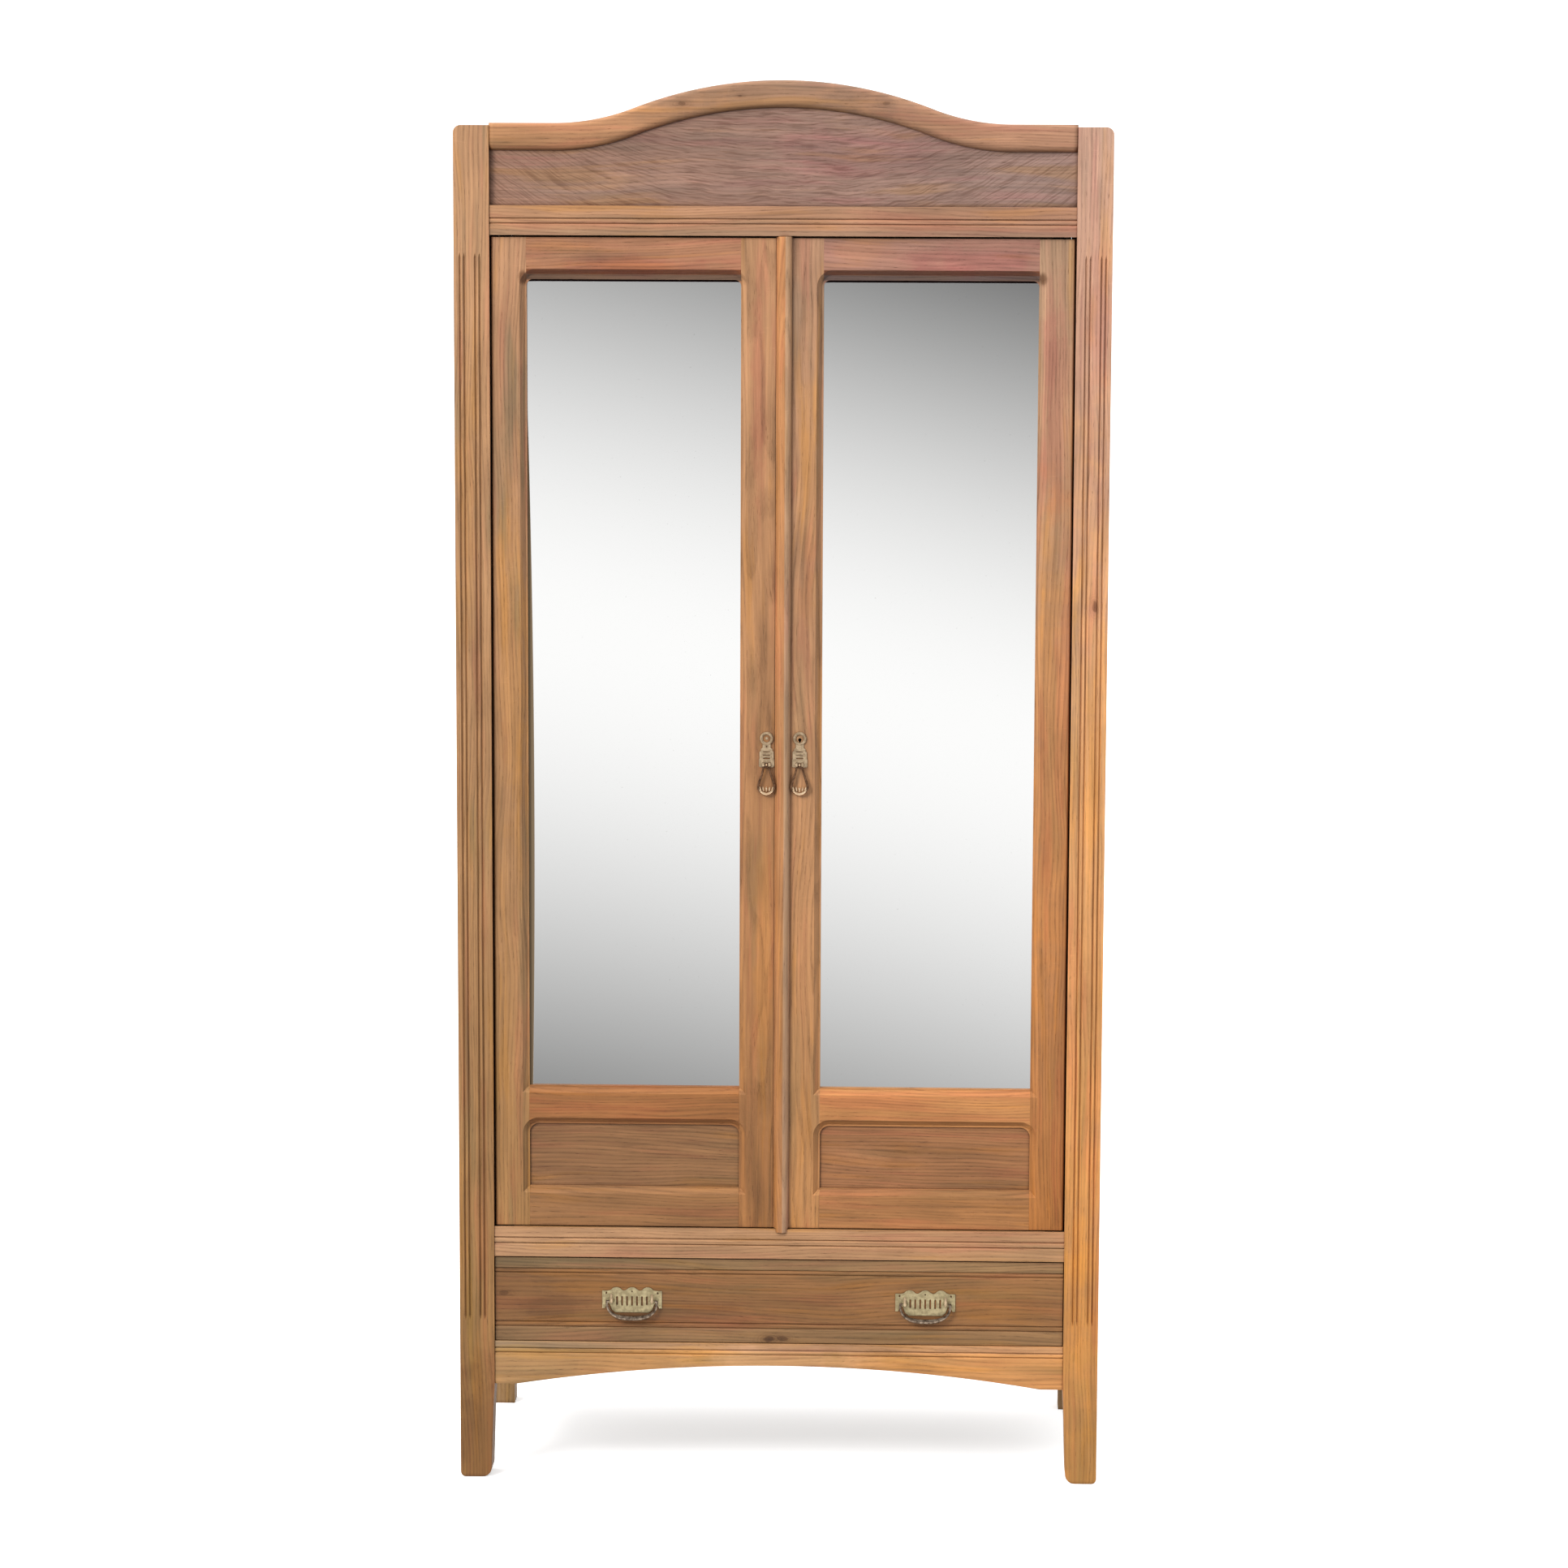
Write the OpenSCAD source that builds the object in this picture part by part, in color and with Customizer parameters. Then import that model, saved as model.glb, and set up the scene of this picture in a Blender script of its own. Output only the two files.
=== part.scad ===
// Armoire with two mirrored doors over one full-width drawer.
// +Z is up, the front faces -Y, +X is the right-hand side, and the origin is on the floor,
// in the middle of the whole object's plan.

/* [Carcass] */
// Width over the two front posts
body_w = 960; // [800:5:1300]
// Depth from the front posts' faces to the back boards' outer faces
body_d = 450; // [370:5:600]
// Height of the front posts
post_h = 2025; // [1690:1:2430]
// Width of a front post, seen from the front
post_w = 52; // [44:1:64]
// Depth of a front post
post_d = 45; // [45:1:60]
// Width of a rear post, seen from the back
rear_post_w = 45; // [36:1:60]
// Depth of a rear post
rear_post_d = 40; // [36:1:60]
// How far the rear posts and sides stop below the front posts' tops
rear_drop = 33; // [0:1:60]
// Height of the apron rail's underside above the floor, at its ends
leg_h = 145; // [100:1:220]
// How much a front leg narrows on its inner side
leg_taper = 5; // [0:0.5:12]

/* [Front rails] */
// Height of the apron rail at its ends
apron_h = 66; // [50:1:90]
// Rise of the apron's arch
arch_rise = 32; // [10:1:40]
// Straight length of the apron's underside beside each leg
arch_margin = 34; // [10:1:80]
// Height of the mid rail, between the drawer and the doors
mid_rail_h = 45; // [36:1:60]
// Height of the upper rail, above the doors
upper_rail_h = 43; // [36:1:60]
// Height of the frieze panel that shows at its ends
frieze_h = 79; // [50:1:120]
// Height of the crest rail
crest_h = 40; // [30:1:60]
// How far the crest rail's ends stand above the posts
crest_proud = 3.5; // [0:0.5:8]
// Rise of the crest's arch
crest_rise = 62.5; // [30:0.5:90]
// Half the length of the crest's arch
crest_reach = 334; // [250:1:340]
// Share of that length which the middle arc takes
crest_share = 0.65; // [0.4:0.05:0.8]
// Thickness of the crest, mid and apron rails
rail_t = 28; // [24:1:36]
// How far the crest rail lies behind the posts' faces
crest_recess = 1; // [0:0.5:4]
// How far the other front rails lie behind the posts' faces
rail_recess = 2; // [1:0.5:6]
// Depth of the flutes and rail grooves
groove_r = 2; // [1:0.5:3]

/* [Doors] */
// Thickness of a door
door_t = 24; // [20:1:30]
// How far the doors lie behind the posts' faces
door_recess = 8; // [6:0.5:10]
// Gap between a door and the post or rail next to it
door_gap = 2; // [1.5:0.5:4]
// Gap between a door and the upper rail
door_top_gap = 3; // [2:0.5:5]
// Middle of the gap between the doors, from the centre line
meeting_x = -8; // [-20:1:20]
// Width of a hinge stile, up to the mirror
hinge_stile_w = 51.5; // [42:0.5:70]
// Distance from the centre line to each mirror
mirror_inset = 60.5; // [45:0.5:90]
// Height of a door's top rail, down to the mirror
top_rail_h = 61; // [50:1:90]
// Height of the rail between the mirror and the lower panel
lock_rail_h = 58; // [45:1:90]
// Height of a door's bottom rail, up to the panel
bottom_rail_h = 60; // [45:1:100]
// Height of the lower panel that shows
panel_h = 95; // [60:1:200]
// Width of the sloping moulding round the openings
bevel_w = 7.5; // [4:0.5:10]
// Depth of that moulding
bevel_d = 7; // [4:0.5:8]
// Width of the flat lip inside the moulding
lip_w = 2.5; // [1:0.5:4]
// Width of that lip above the mirror
top_lip_w = 7.5; // [3:0.5:10]
// Radius of the openings' upper corners
corner_r = 24; // [16:1:30]
// Thickness of the mirror
mirror_t = 4; // [3:0.5:6]
// Width of the meeting strip
strip_w = 21.4; // [16:0.2:26]
// Width of the thin lip that covers the gap between the doors
strip_lip_w = 1.7; // [1:0.1:1.7]
// How far the meeting strip stands out from the door
strip_out = 11; // [6:0.5:14]
// How far the meeting strip hangs below the door
strip_hang = 6; // [0:1:10]
// How far the meeting strip rises into the gap above the doors
strip_rise = 2.4; // [0:0.1:2.6]
// Distance from a door's outer edge to its pivot
pivot_in = 12; // [10:0.5:16]
// Distance from a door's face back to its pivot
pivot_back = 8; // [7:0.5:10]
// Radius of the pivot pins
pivot_r = 4; // [3:0.5:5]

/* [Drawer] */
// Height of the drawer's opening
drawer_open_h = 131; // [100:1:180]
// Gap round the drawer's front
drawer_gap = 1; // [1:0.5:4]
// Gap above the drawer's front
drawer_top_gap = 2; // [1:0.5:4]
// Thickness of the drawer's front
drawer_front_t = 22; // [18:1:28]
// How far the drawer's front lies behind the posts' faces
drawer_recess = 4; // [2:0.5:8]
// Thickness of the drawer's sides and back
drawer_side_t = 12; // [9:0.5:16]
// Thickness of the drawer's bottom
drawer_bottom_t = 6; // [4:0.5:10]
// Distance from the centre line to each drawer pull
drawer_pull_x = 220.5; // [120:0.5:280]
// Height of the bail pins above the drawer opening's floor
bail_pin_h = 65; // [50:1:90]

/* [Inside] */
// Distance from the top board down to the hat shelf's underside
shelf_drop = 407; // [250:1:480]
// Thickness of the shelf, floor and top boards
board_t = 16; // [12:1:22]
// Distance from the hat shelf down to the hanging rail's middle
hanger_drop = 85; // [60:5:140]
// Radius of the hanging rail
hanger_r = 14; // [10:1:18]

/* [Hardware] */
// Thickness of the brass plates
plate_t = 1.5; // [1:0.25:2.5]
// Height of the drop pulls' pins above the cabinet floor
drop_pin_h = 704; // [500:1:900]
// Height of a drop pull
drop_h = 49; // [36:1:64]
// Width of a drop pull
drop_w = 28; // [20:1:28]
// Width of a bail between the middles of its arms
bail_w = 75; // [60:1:90]
// Height of a bail
bail_h = 28; // [20:1:32]
// Radius of a bail's wire
bail_r = 2.2; // [1.8:0.1:3]
// Clearance round a pin in its bore
pin_play = 0.07; // [0.03:0.01:0.1]

/* [Hidden] */
$fn = 48;
oak = [0.78, 0.58, 0.40];
inner_oak = [0.70, 0.55, 0.40];
panel_oak = [0.60, 0.47, 0.38];
brass = [0.66, 0.58, 0.40];
iron = [0.30, 0.29, 0.28];
silver = [0.82, 0.84, 0.85];

// Small clearances
fit_play = 0.25;      // round a tenon in its mortise
panel_play = 0.5;     // round a panel in its groove
slide_gap = 0.6;      // beside a piece that slides
stop_gap = 0.6;       // between a door and its stop
bolt_play = 0.4;      // round a bolt in its guides or its lock
runner_play = 0.4;    // between the drawer and its runners
let_in_play = 0.01;   // round a metal plate let into wood
strip_play = 2.3;     // between the meeting strip and the right door's pull plate
edge_play = 0.3;      // between the left door's edge and its pull plate
overrun = 1;          // how far a cutting shape stands out of what it cuts

// Joinery
tenon_l = 22;
tenon_t = 10;
tenon_shoulder = 8;
side_tenon_l = 18;
side_tenon_t = 8;
groove_in = 6;        // depth of the grooves that hold panels
crest_tenon_drop = 6; // how far the crest's tenon stops below its ends
low_rail_lift = 5;    // how far the lowest side and rear rails lie above the apron's underside
low_rail_h = 80;
belt_below = 12;      // how far the middle side and rear rails reach below the mid rail
belt_above = 43;      // and above it
side_top_below = 25;  // how far the top side rails reach below the upper rail's top
rear_top_h = 80;      // height of the top rear rail

// Heights, from the floor up and from the posts' tops down
apron_top = leg_h + apron_h;
mid_z0 = apron_top + drawer_open_h;
mid_z1 = mid_z0 + mid_rail_h;
crest_z1 = post_h + crest_proud;
crest_z0 = crest_z1 - crest_h;
upper_z1 = crest_z0 - frieze_h;
upper_z0 = upper_z1 - upper_rail_h;
rear_h = post_h - rear_drop;
top_board_z = rear_h - board_t;

// Half widths
half_w = body_w / 2;
inner_x = half_w - post_w;
rear_x = half_w - rear_post_w;
side_recess = 2;
side_t = 22;
strip_lip_t = 1;
side_x1 = half_w - side_recess;
side_x0 = side_x1 - side_t;
side_panel_t = 8;
side_panel_x = side_x0 + (side_t - side_panel_t) / 2;
side_mid_x = side_panel_x + side_panel_t / 2;

// Depths, measured back from the posts' faces
rear_y = body_d - rear_post_d;
back_board_t = 10;
back_board_n = 6;
board_joint = 1.5;
rear_rail_t = 22;
rear_rail_y = body_d - back_board_t - rear_rail_t;
rear_tenon_y = rear_rail_y + rear_rail_t / 2;
rail_y1 = rail_recess + rail_t;
upper_rail_y1 = post_d - 1;
tenon_y = rail_recess + rail_t / 2;

// Door places
door_z0 = mid_z1 + door_gap;
door_z1 = upper_z0 - door_top_gap;
door_edge = inner_x - door_gap;
door_y1 = door_recess + door_t;
pivot_x = door_edge - pivot_in;
pivot_y = door_recess + pivot_back;
sight_x0 = mirror_inset;
sight_x1 = door_edge - hinge_stile_w;
panel_z0 = door_z0 + bottom_rail_h;
panel_z1 = panel_z0 + panel_h;
mirror_z0 = panel_z1 + lock_rail_h;
mirror_z1 = door_z1 - top_rail_h;
rebate_in = 7;
rebate_y = door_recess + 12;
seat_in = rebate_in - 1;
backboard_t = 5;
panel_y = door_recess + bevel_d + 3;
panel_t = 7;
arris_r = 3;

// Pivot hardware
pivot_plate_l = 30;
pivot_plate_w = 14;
pivot_plate_t = 2.5;
pivot_pin_l = 9;
pivot_pocket_r = pivot_r + 1.2;
pivot_pocket_l = pivot_pin_l + 4;

// Door stops, kept clear of the doors' outer corners as they swing
stop_t = 12;
stop_h = 14;
stop_x = pivot_x - 19;
stop_y = door_y1 + stop_gap;

// Bolts and lock
bolt_w = 12;
bolt_t = 4;
bolt_l = 180;
bolt_x = -(sight_x0 - rebate_in + meeting_edge(-1)) / 2;
bolt_y = door_y1 + 2;
bolt_rest = 1.5;
bolt_knob_r = 5;
bolt_knob_l = 9;
bolt_knob_in = 14;
guide_h = 12;
guide_flange = 9;
guide_wall = 2.5;
GUIDE_STEPS = [34, 118];
lock_w = 46;
lock_h = 70;
lock_t = 12;
lock_edge = 0.5;
lock_bolt_h = 12;
lock_bolt_t = 5;
lock_bolt_l = 29;
lock_bolt_in = 4;
staple_w = 22;
staple_h = 35;
staple_wall = 3;
staple_face = 1.5;
staple_edge = 2;

// Door pulls
plate_w = 23;
plate_head_r = 8.5;
plate_head_rise = 4;
plate_foot_h = 8;
plate_foot_drop = 3;
plate_waist_in = 3;
pull_xs = [
    -(meeting_edge(-1) + plate_w / 2 + edge_play),
    meeting_edge(1) + strip_w + strip_play + plate_w / 2
];
drop_z = mid_z1 + drop_pin_h;
drop_pin_r = 1.2;
drop_pin_l = 13;
drop_t = 4;
drop_neck_r = 4;
drop_rim = 3.6;
drop_tip_r = 2;
drop_hole_top = 12;
drop_eye_l = 4.4;
drop_eye_r = 2.6;
drop_out = 4.3;
drop_y = door_recess - plate_t - drop_out;
knuckle_r = 3;
knuckle_l = 4;
keyhole_rise = 36;
keyhole_z = drop_z + keyhole_rise;

// Drawer places
drawer_x = inner_x - drawer_gap;
drawer_z0 = apron_top + drawer_gap;
drawer_z1 = mid_z0 - drawer_top_gap;
drawer_y1 = drawer_recess + drawer_front_t;
drawer_back_gap = 10;
drawer_back_y = rear_y - drawer_back_gap;
drawer_side_drop = 12;
drawer_side_z1 = drawer_z1 - drawer_side_drop;
drawer_floor_rise = 9;
drawer_floor_z = drawer_z0 + drawer_floor_rise;
drawer_back_drop = 8;
runner_w = 44;
runner_h = 25;
guide_rise = 18;
kicker_gap = 2;
bail_z = apron_top + bail_pin_h;
bail_out = 6;
bail_y = drawer_recess - plate_t - bail_out;
bail_pin_r = 1.7;
stud_r = 4;
stud_in = 7;
bail_corner = 0.8;
bail_plate_w = 92;
bail_plate_h = 34;
bail_plate_drop = 17;
bail_ear_z = 7;
bail_waist_z = 10;
bail_lobe_r = 9;
bail_lobe_x = 24;
bail_lobe_drop = 3;

// The whole object's front is the bails' and its back is the back boards'
front_y = -(body_d + bail_y - stud_r) / 2;

// ---------- Helpers ----------

// Moves a piece from the posts' faces to the part's own frame
module place() translate([0, front_y, 0]) children();

// Draws the +X side, or its mirror image when s is -1
module on_side(s) mirror([s < 0 ? 1 : 0, 0, 0]) children();

// A box between two corners
module box(a, b) translate(a) cube(b - a);

// A flat outline in X and Z, made solid between two depths
module slab(y0, y1) translate([0, y1, 0]) rotate([90, 0, 0]) linear_extrude(y1 - y0) children();

// Points of an arc about (cx, cz)
function arc(cx, cz, r, a0, a1, n = 10) =
    [for (i = [0:n]) let (a = a0 + (a1 - a0) * i / n) [cx + r * cos(a), cz + r * sin(a)]];

// A stopped V groove with pointed ends, along +Z
module flute(z0, z1) {
    tip = 4 * groove_r;
    translate([0, 0, z0 + tip]) {
        cylinder(h = z1 - z0 - 2 * tip, r = groove_r, $fn = 4);
        mirror([0, 0, 1]) cylinder(h = tip, r1 = groove_r, r2 = 0, $fn = 4);
    }
    translate([0, 0, z1 - tip]) cylinder(h = tip, r1 = groove_r, r2 = 0, $fn = 4);
}

// A V groove across the front, at a face's depth and a height
module cross_groove(y, z)
    translate([-half_w, y, z]) rotate([0, 90, 0]) cylinder(h = body_w, r = groove_r, $fn = 4);

// Distances of the rails' and the drawer's grooves from their upper or lower edges
UPPER_GROOVES = [19.2, 26.4];
MID_GROOVES = [16.6, 25.1];
APRON_GROOVES = [11.2, 17.8];
DRAWER_TOP_GROOVES = [17.3, 23.5];
DRAWER_LOW_GROOVES = [21.5, 28.7];

// ---------- Joinery ----------

FRONT_RAILS = [
    [leg_h, apron_top], [mid_z0, mid_z1], [upper_z0, upper_z1], [crest_z0, crest_z1 - crest_tenon_drop]
];
LOW_RAIL = [leg_h + low_rail_lift, leg_h + low_rail_lift + low_rail_h];
BELT_RAIL = [mid_z0 - belt_below, mid_z1 + belt_above];
SIDE_RAILS = [LOW_RAIL, BELT_RAIL, [upper_z1 - side_top_below, rear_h]];
REAR_RAILS = [LOW_RAIL, BELT_RAIL, [rear_h - rear_top_h, rear_h]];

// The tenon of a front rail on the +X side, or its mortise when play is more than 0
module front_tenon(rail, play = 0)
    box([inner_x - play, tenon_y - tenon_t / 2 - play, rail[0] + tenon_shoulder - play],
        [inner_x + tenon_l + 2 * play, tenon_y + tenon_t / 2 + play, rail[1] - tenon_shoulder + play]);

// The two tenons of a side rail on the +X side
module side_tenons(rail, play = 0)
    box([side_mid_x - side_tenon_t / 2 - play, post_d - side_tenon_l - 2 * play,
         rail[0] + tenon_shoulder - play],
        [side_mid_x + side_tenon_t / 2 + play, rear_y + side_tenon_l + 2 * play,
         rail[1] - tenon_shoulder + play]);

// The tenon of a rear rail on the +X side
module rear_tenon(rail, play = 0)
    box([rear_x - play, rear_tenon_y - side_tenon_t / 2 - play, rail[0] + tenon_shoulder - play],
        [rear_x + side_tenon_l + 2 * play, rear_tenon_y + side_tenon_t / 2 + play,
         rail[1] - tenon_shoulder + play]);

// ---------- Crest ----------

// The crest's curve: a middle arc and a reverse arc that runs out level
crest_angle = 2 * atan(crest_rise / crest_reach);
crest_r1 = crest_share * crest_reach / sin(crest_angle);
crest_r2 = (1 - crest_share) * crest_reach / sin(crest_angle);

// Points of that curve from the right end to the middle, for a level run at height z
function crest_half(z, x_end) = concat(
    [[x_end, z]],
    arc(crest_reach, z + crest_r2, crest_r2, 270, 270 - crest_angle, 9),
    arc(0, z + crest_rise - crest_r1, crest_r1, 90 - crest_angle, 90, 12));

function crest_curve(z, x_end) =
    let (right = crest_half(z, x_end))
    concat(right, [for (i = [len(right) - 2:-1:0]) [-right[i].x, right[i].y]]);

function reversed(pts) = [for (i = [len(pts) - 1:-1:0]) pts[i]];

// The band between two levels of the curve
module crest_band(z0, z1, x_end)
    polygon(concat(crest_curve(z1, x_end), reversed(crest_curve(z0, x_end))));

// The frieze panel, whose edges run into the posts, the crest rail and the upper rail
frieze_y = 11;
frieze_t = 9;
module frieze_blank(play = 0)
    slab(frieze_y - play, frieze_y + frieze_t + play)
        polygon(concat(crest_curve(crest_z0 + groove_in + play, inner_x + groove_in + play),
            [[-inner_x - groove_in - play, upper_z1 - groove_in - play],
             [inner_x + groove_in + play, upper_z1 - groove_in - play]]));

// ---------- Carcass ----------

post_top_r = 11;
foot_inner_r = 15;
foot_outer_r = 8;
foot_x = inner_x + leg_taper;
knee_share = 0.4;     // share of the taper that lies above the knee
knee_z = 0.76 * leg_h;

// A front post seen from the front, on the +X side
module post_outline()
    polygon(concat(
        [[inner_x, post_h]],
        [[inner_x, leg_h]],
        [[inner_x + leg_taper * knee_share, knee_z]],
        arc(foot_x + foot_inner_r, foot_inner_r, foot_inner_r, 180, 270, 8),
        arc(half_w - foot_outer_r, foot_outer_r, foot_outer_r, 270, 360, 6),
        arc(half_w - post_top_r, post_h - post_top_r, post_top_r, 0, 90, 8)));

// The flutes' distances from the post's outer edge
flute_xs = [9, 15.5, 31.5, 38];
flute_rise = 98;
flute_drop = 25;
flute_z0 = leg_h + flute_rise;
flute_z1 = upper_z0 - flute_drop;

module front_post(s)
    color(oak) place() on_side(s) difference() {
        slab(0, post_d) post_outline();
        for (x = flute_xs) translate([half_w - x, 0, 0]) flute(flute_z0, flute_z1);
        for (rail = FRONT_RAILS) front_tenon(rail, fit_play);
        for (rail = SIDE_RAILS) side_tenons(rail, fit_play);
        for (z = SIDE_PANELS) side_panel_blank(z, panel_play);
        frieze_blank(panel_play);
    }

module rear_post(s)
    color(inner_oak) place() on_side(s) difference() {
        box([rear_x, rear_y, 0], [half_w, body_d, rear_h]);
        for (rail = SIDE_RAILS) side_tenons(rail, fit_play);
        for (rail = REAR_RAILS) rear_tenon(rail, fit_play);
        for (z = SIDE_PANELS) side_panel_blank(z, panel_play);
    }

module crest_rail()
    color(oak) place() difference() {
        union() {
            slab(crest_recess, crest_recess + rail_t) crest_band(crest_z0, crest_z1, inner_x);
            for (s = [-1, 1]) on_side(s) front_tenon(FRONT_RAILS[3]);
        }
        frieze_blank(panel_play);
    }

module frieze_panel() color(panel_oak) place() frieze_blank();

module upper_rail()
    color(oak) place() difference() {
        union() {
            box([-inner_x, rail_recess, upper_z0], [inner_x, upper_rail_y1, upper_z1]);
            for (s = [-1, 1]) on_side(s) front_tenon(FRONT_RAILS[2]);
        }
        for (z = UPPER_GROOVES) cross_groove(rail_recess, upper_z1 - z);
        frieze_blank(panel_play);
        for (s = [-1, 1]) on_side(s) upper_socket_room();
    }

module mid_rail()
    color(oak) place() difference() {
        union() {
            box([-inner_x, rail_recess, mid_z0], [inner_x, rail_y1, mid_z1]);
            for (s = [-1, 1]) on_side(s) front_tenon(FRONT_RAILS[1]);
        }
        for (z = MID_GROOVES) cross_groove(rail_recess, mid_z1 - z);
        for (s = [-1, 1]) on_side(s) lower_socket_room();
    }

// The apron seen from the front, with its arch as one arc
module apron_outline() {
    half = inner_x - arch_margin;
    r = (half * half + arch_rise * arch_rise) / (2 * arch_rise);
    sweep = asin(half / r);
    polygon(concat(
        [[-inner_x, leg_h]],
        arc(0, leg_h + arch_rise - r, r, 90 + sweep, 90 - sweep, 24),
        [[inner_x, leg_h], [inner_x, apron_top], [-inner_x, apron_top]]));
}

module apron_rail()
    color(oak) place() difference() {
        union() {
            slab(rail_recess, rail_y1) apron_outline();
            for (s = [-1, 1]) on_side(s) front_tenon(FRONT_RAILS[0]);
        }
        for (z = APRON_GROOVES) cross_groove(rail_recess, apron_top - z);
    }

module side_rails(s)
    color(oak) place() on_side(s) difference() {
        for (rail = SIDE_RAILS) {
            box([side_x0, post_d, rail[0]], [side_x1, rear_y, rail[1]]);
            side_tenons(rail);
        }
        for (z = SIDE_PANELS) side_panel_blank(z, panel_play);
        for (z = [top_board_z, mid_z1 - board_t]) level_board(z, rail_y1, panel_play);
    }

// The lower and upper side panels' heights that show
SIDE_PANELS = [[SIDE_RAILS[0][1], SIDE_RAILS[1][0]], [SIDE_RAILS[1][1], SIDE_RAILS[2][0]]];

module side_panel_blank(z, play = 0)
    box([side_panel_x - play, post_d - groove_in - play, z[0] - groove_in - play],
        [side_panel_x + side_panel_t + play, rear_y + groove_in + play, z[1] + groove_in + play]);

module side_panels(s) color(panel_oak) place() on_side(s) for (z = SIDE_PANELS) side_panel_blank(z);

module rear_rails()
    color(inner_oak) place() for (rail = REAR_RAILS) {
        box([-rear_x, rear_rail_y, rail[0]], [rear_x, rear_rail_y + rear_rail_t, rail[1]]);
        for (s = [-1, 1]) on_side(s) rear_tenon(rail);
    }

module back_boards() {
    pitch = 2 * rear_x / back_board_n;
    color(inner_oak) place() for (i = [0:back_board_n - 1])
        translate([-rear_x + i * pitch + board_joint / 2, body_d - back_board_t, REAR_RAILS[0][0]])
            cube([pitch - board_joint, back_board_t, rear_h - REAR_RAILS[0][0]]);
}

// A board between the sides, let into their rails and cut round the four posts
module level_board(z0, y0, play = 0) {
    box([-side_x0 - groove_in - play, post_d, z0 - play],
        [side_x0 + groove_in + play, rear_y, z0 + board_t + play]);
    box([-inner_x, y0, z0 - play], [inner_x, post_d, z0 + board_t + play]);
    box([-rear_x, rear_y, z0 - play], [rear_x, rear_rail_y, z0 + board_t + play]);
}

module top_board() color(inner_oak) place() level_board(top_board_z, crest_recess + rail_t);

module cabinet_floor() color(inner_oak) place() level_board(mid_z1 - board_t, rail_y1);

module door_stops()
    color(inner_oak) place() difference() {
        for (z = [mid_z1, upper_z0 - stop_h])
            box([-stop_x, stop_y, z], [stop_x, stop_y + stop_t, z + stop_h]);
        for (z = [mid_z1, upper_z0 - stop_h])
            box([bolt_x - bolt_w / 2 - slide_gap, stop_y - overrun, z - overrun],
                [bolt_x + bolt_w / 2 + slide_gap, bolt_y + bolt_t + slide_gap, z + stop_h + overrun]);
    }

shelf_z = top_board_z - shelf_drop;
cleat = 20;
shelf_gap = 1;

module hat_shelf()
    color(inner_oak) place()
        box([-side_x0 + shelf_gap, post_d + shelf_gap, shelf_z],
            [side_x0 - shelf_gap, rear_y - shelf_gap, shelf_z + board_t]);

module shelf_cleats()
    color(inner_oak) place() for (s = [-1, 1]) on_side(s)
        box([side_panel_x - cleat, post_d, shelf_z - cleat], [side_panel_x, rear_y, shelf_z]);

hanger_z = shelf_z - hanger_drop;
hanger_y = (post_d + rear_y) / 2;
socket_t = 20;
socket_bore = 14;
socket_half_w = 30;
socket_half_h = 36;
hanger_end = side_panel_x - socket_t + socket_bore - shelf_gap;

module hanging_rail()
    color(inner_oak) place()
        translate([-hanger_end, hanger_y, hanger_z]) rotate([0, 90, 0])
            cylinder(h = 2 * hanger_end, r = hanger_r);

module rail_sockets()
    color(inner_oak) place() for (s = [-1, 1]) on_side(s) difference() {
        box([side_panel_x - socket_t, hanger_y - socket_half_w, hanger_z - socket_half_h],
            [side_panel_x, hanger_y + socket_half_w, hanger_z + socket_half_h]);
        translate([side_panel_x - socket_t - overrun, hanger_y, hanger_z]) rotate([0, 90, 0])
            cylinder(h = socket_bore + overrun, r = hanger_r + fit_play);
    }

runner_z1 = drawer_z0 - runner_play;

// Runners carry the drawer, guides keep it central and kickers stop it tipping
module drawer_runners()
    color(inner_oak) place() for (s = [-1, 1]) on_side(s) {
        box([side_x0 - runner_w, rail_y1, drawer_z0 - runner_h], [inner_x, post_d, runner_z1]);
        box([side_x0 - runner_w, post_d, drawer_z0 - runner_h], [side_x0, rear_y, runner_z1]);
        box([drawer_x + slide_gap, post_d, runner_z1], [side_x0, rear_y, drawer_z0 + guide_rise]);
        box([side_x0 - runner_w, post_d, drawer_side_z1 + kicker_gap], [side_x0, rear_y, mid_z1 - board_t]);
    }

// ---------- Pivots ----------

module pivot_plate(z0, play = 0)
    box([pivot_x - pivot_plate_l / 2 - play, pivot_y - pivot_plate_w / 2 - play, z0 - play],
        [min(pivot_x + pivot_plate_l / 2, inner_x) + play, pivot_y + pivot_plate_w / 2 + play,
         z0 + pivot_plate_t + play]);

module pivot_hole(z0, z1, r) translate([pivot_x, pivot_y, z0]) cylinder(h = z1 - z0, r = r);

module lower_socket_room() {
    pivot_plate(mid_z1 - pivot_plate_t, let_in_play);
    pivot_hole(mid_z1 - pivot_pocket_l, mid_z1 + overrun, pivot_pocket_r);
}

module upper_socket_room() {
    pivot_plate(upper_z0, let_in_play);
    pivot_hole(upper_z0 - overrun, upper_z0 + pivot_pocket_l, pivot_pocket_r);
}

module pivot_sockets()
    color(iron) place() for (s = [-1, 1]) on_side(s) difference() {
        for (z = [mid_z1 - pivot_plate_t, upper_z0]) pivot_plate(z);
        for (z = [mid_z1 - pivot_plate_t, upper_z0])
            pivot_hole(z - overrun, z + pivot_plate_t + overrun, pivot_r + pin_play);
    }

// The plates let into a door's ends, with the pins that stand out of them
module door_pivot_plates(play = 0)
    for (z = [door_z0, door_z1 - pivot_plate_t])
        box([pivot_x - pivot_plate_l / 2 - play, pivot_y - pivot_plate_w / 2 - play, z - play],
            [door_edge - 1 + play, pivot_y + pivot_plate_w / 2 + play, z + pivot_plate_t + play]);

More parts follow.
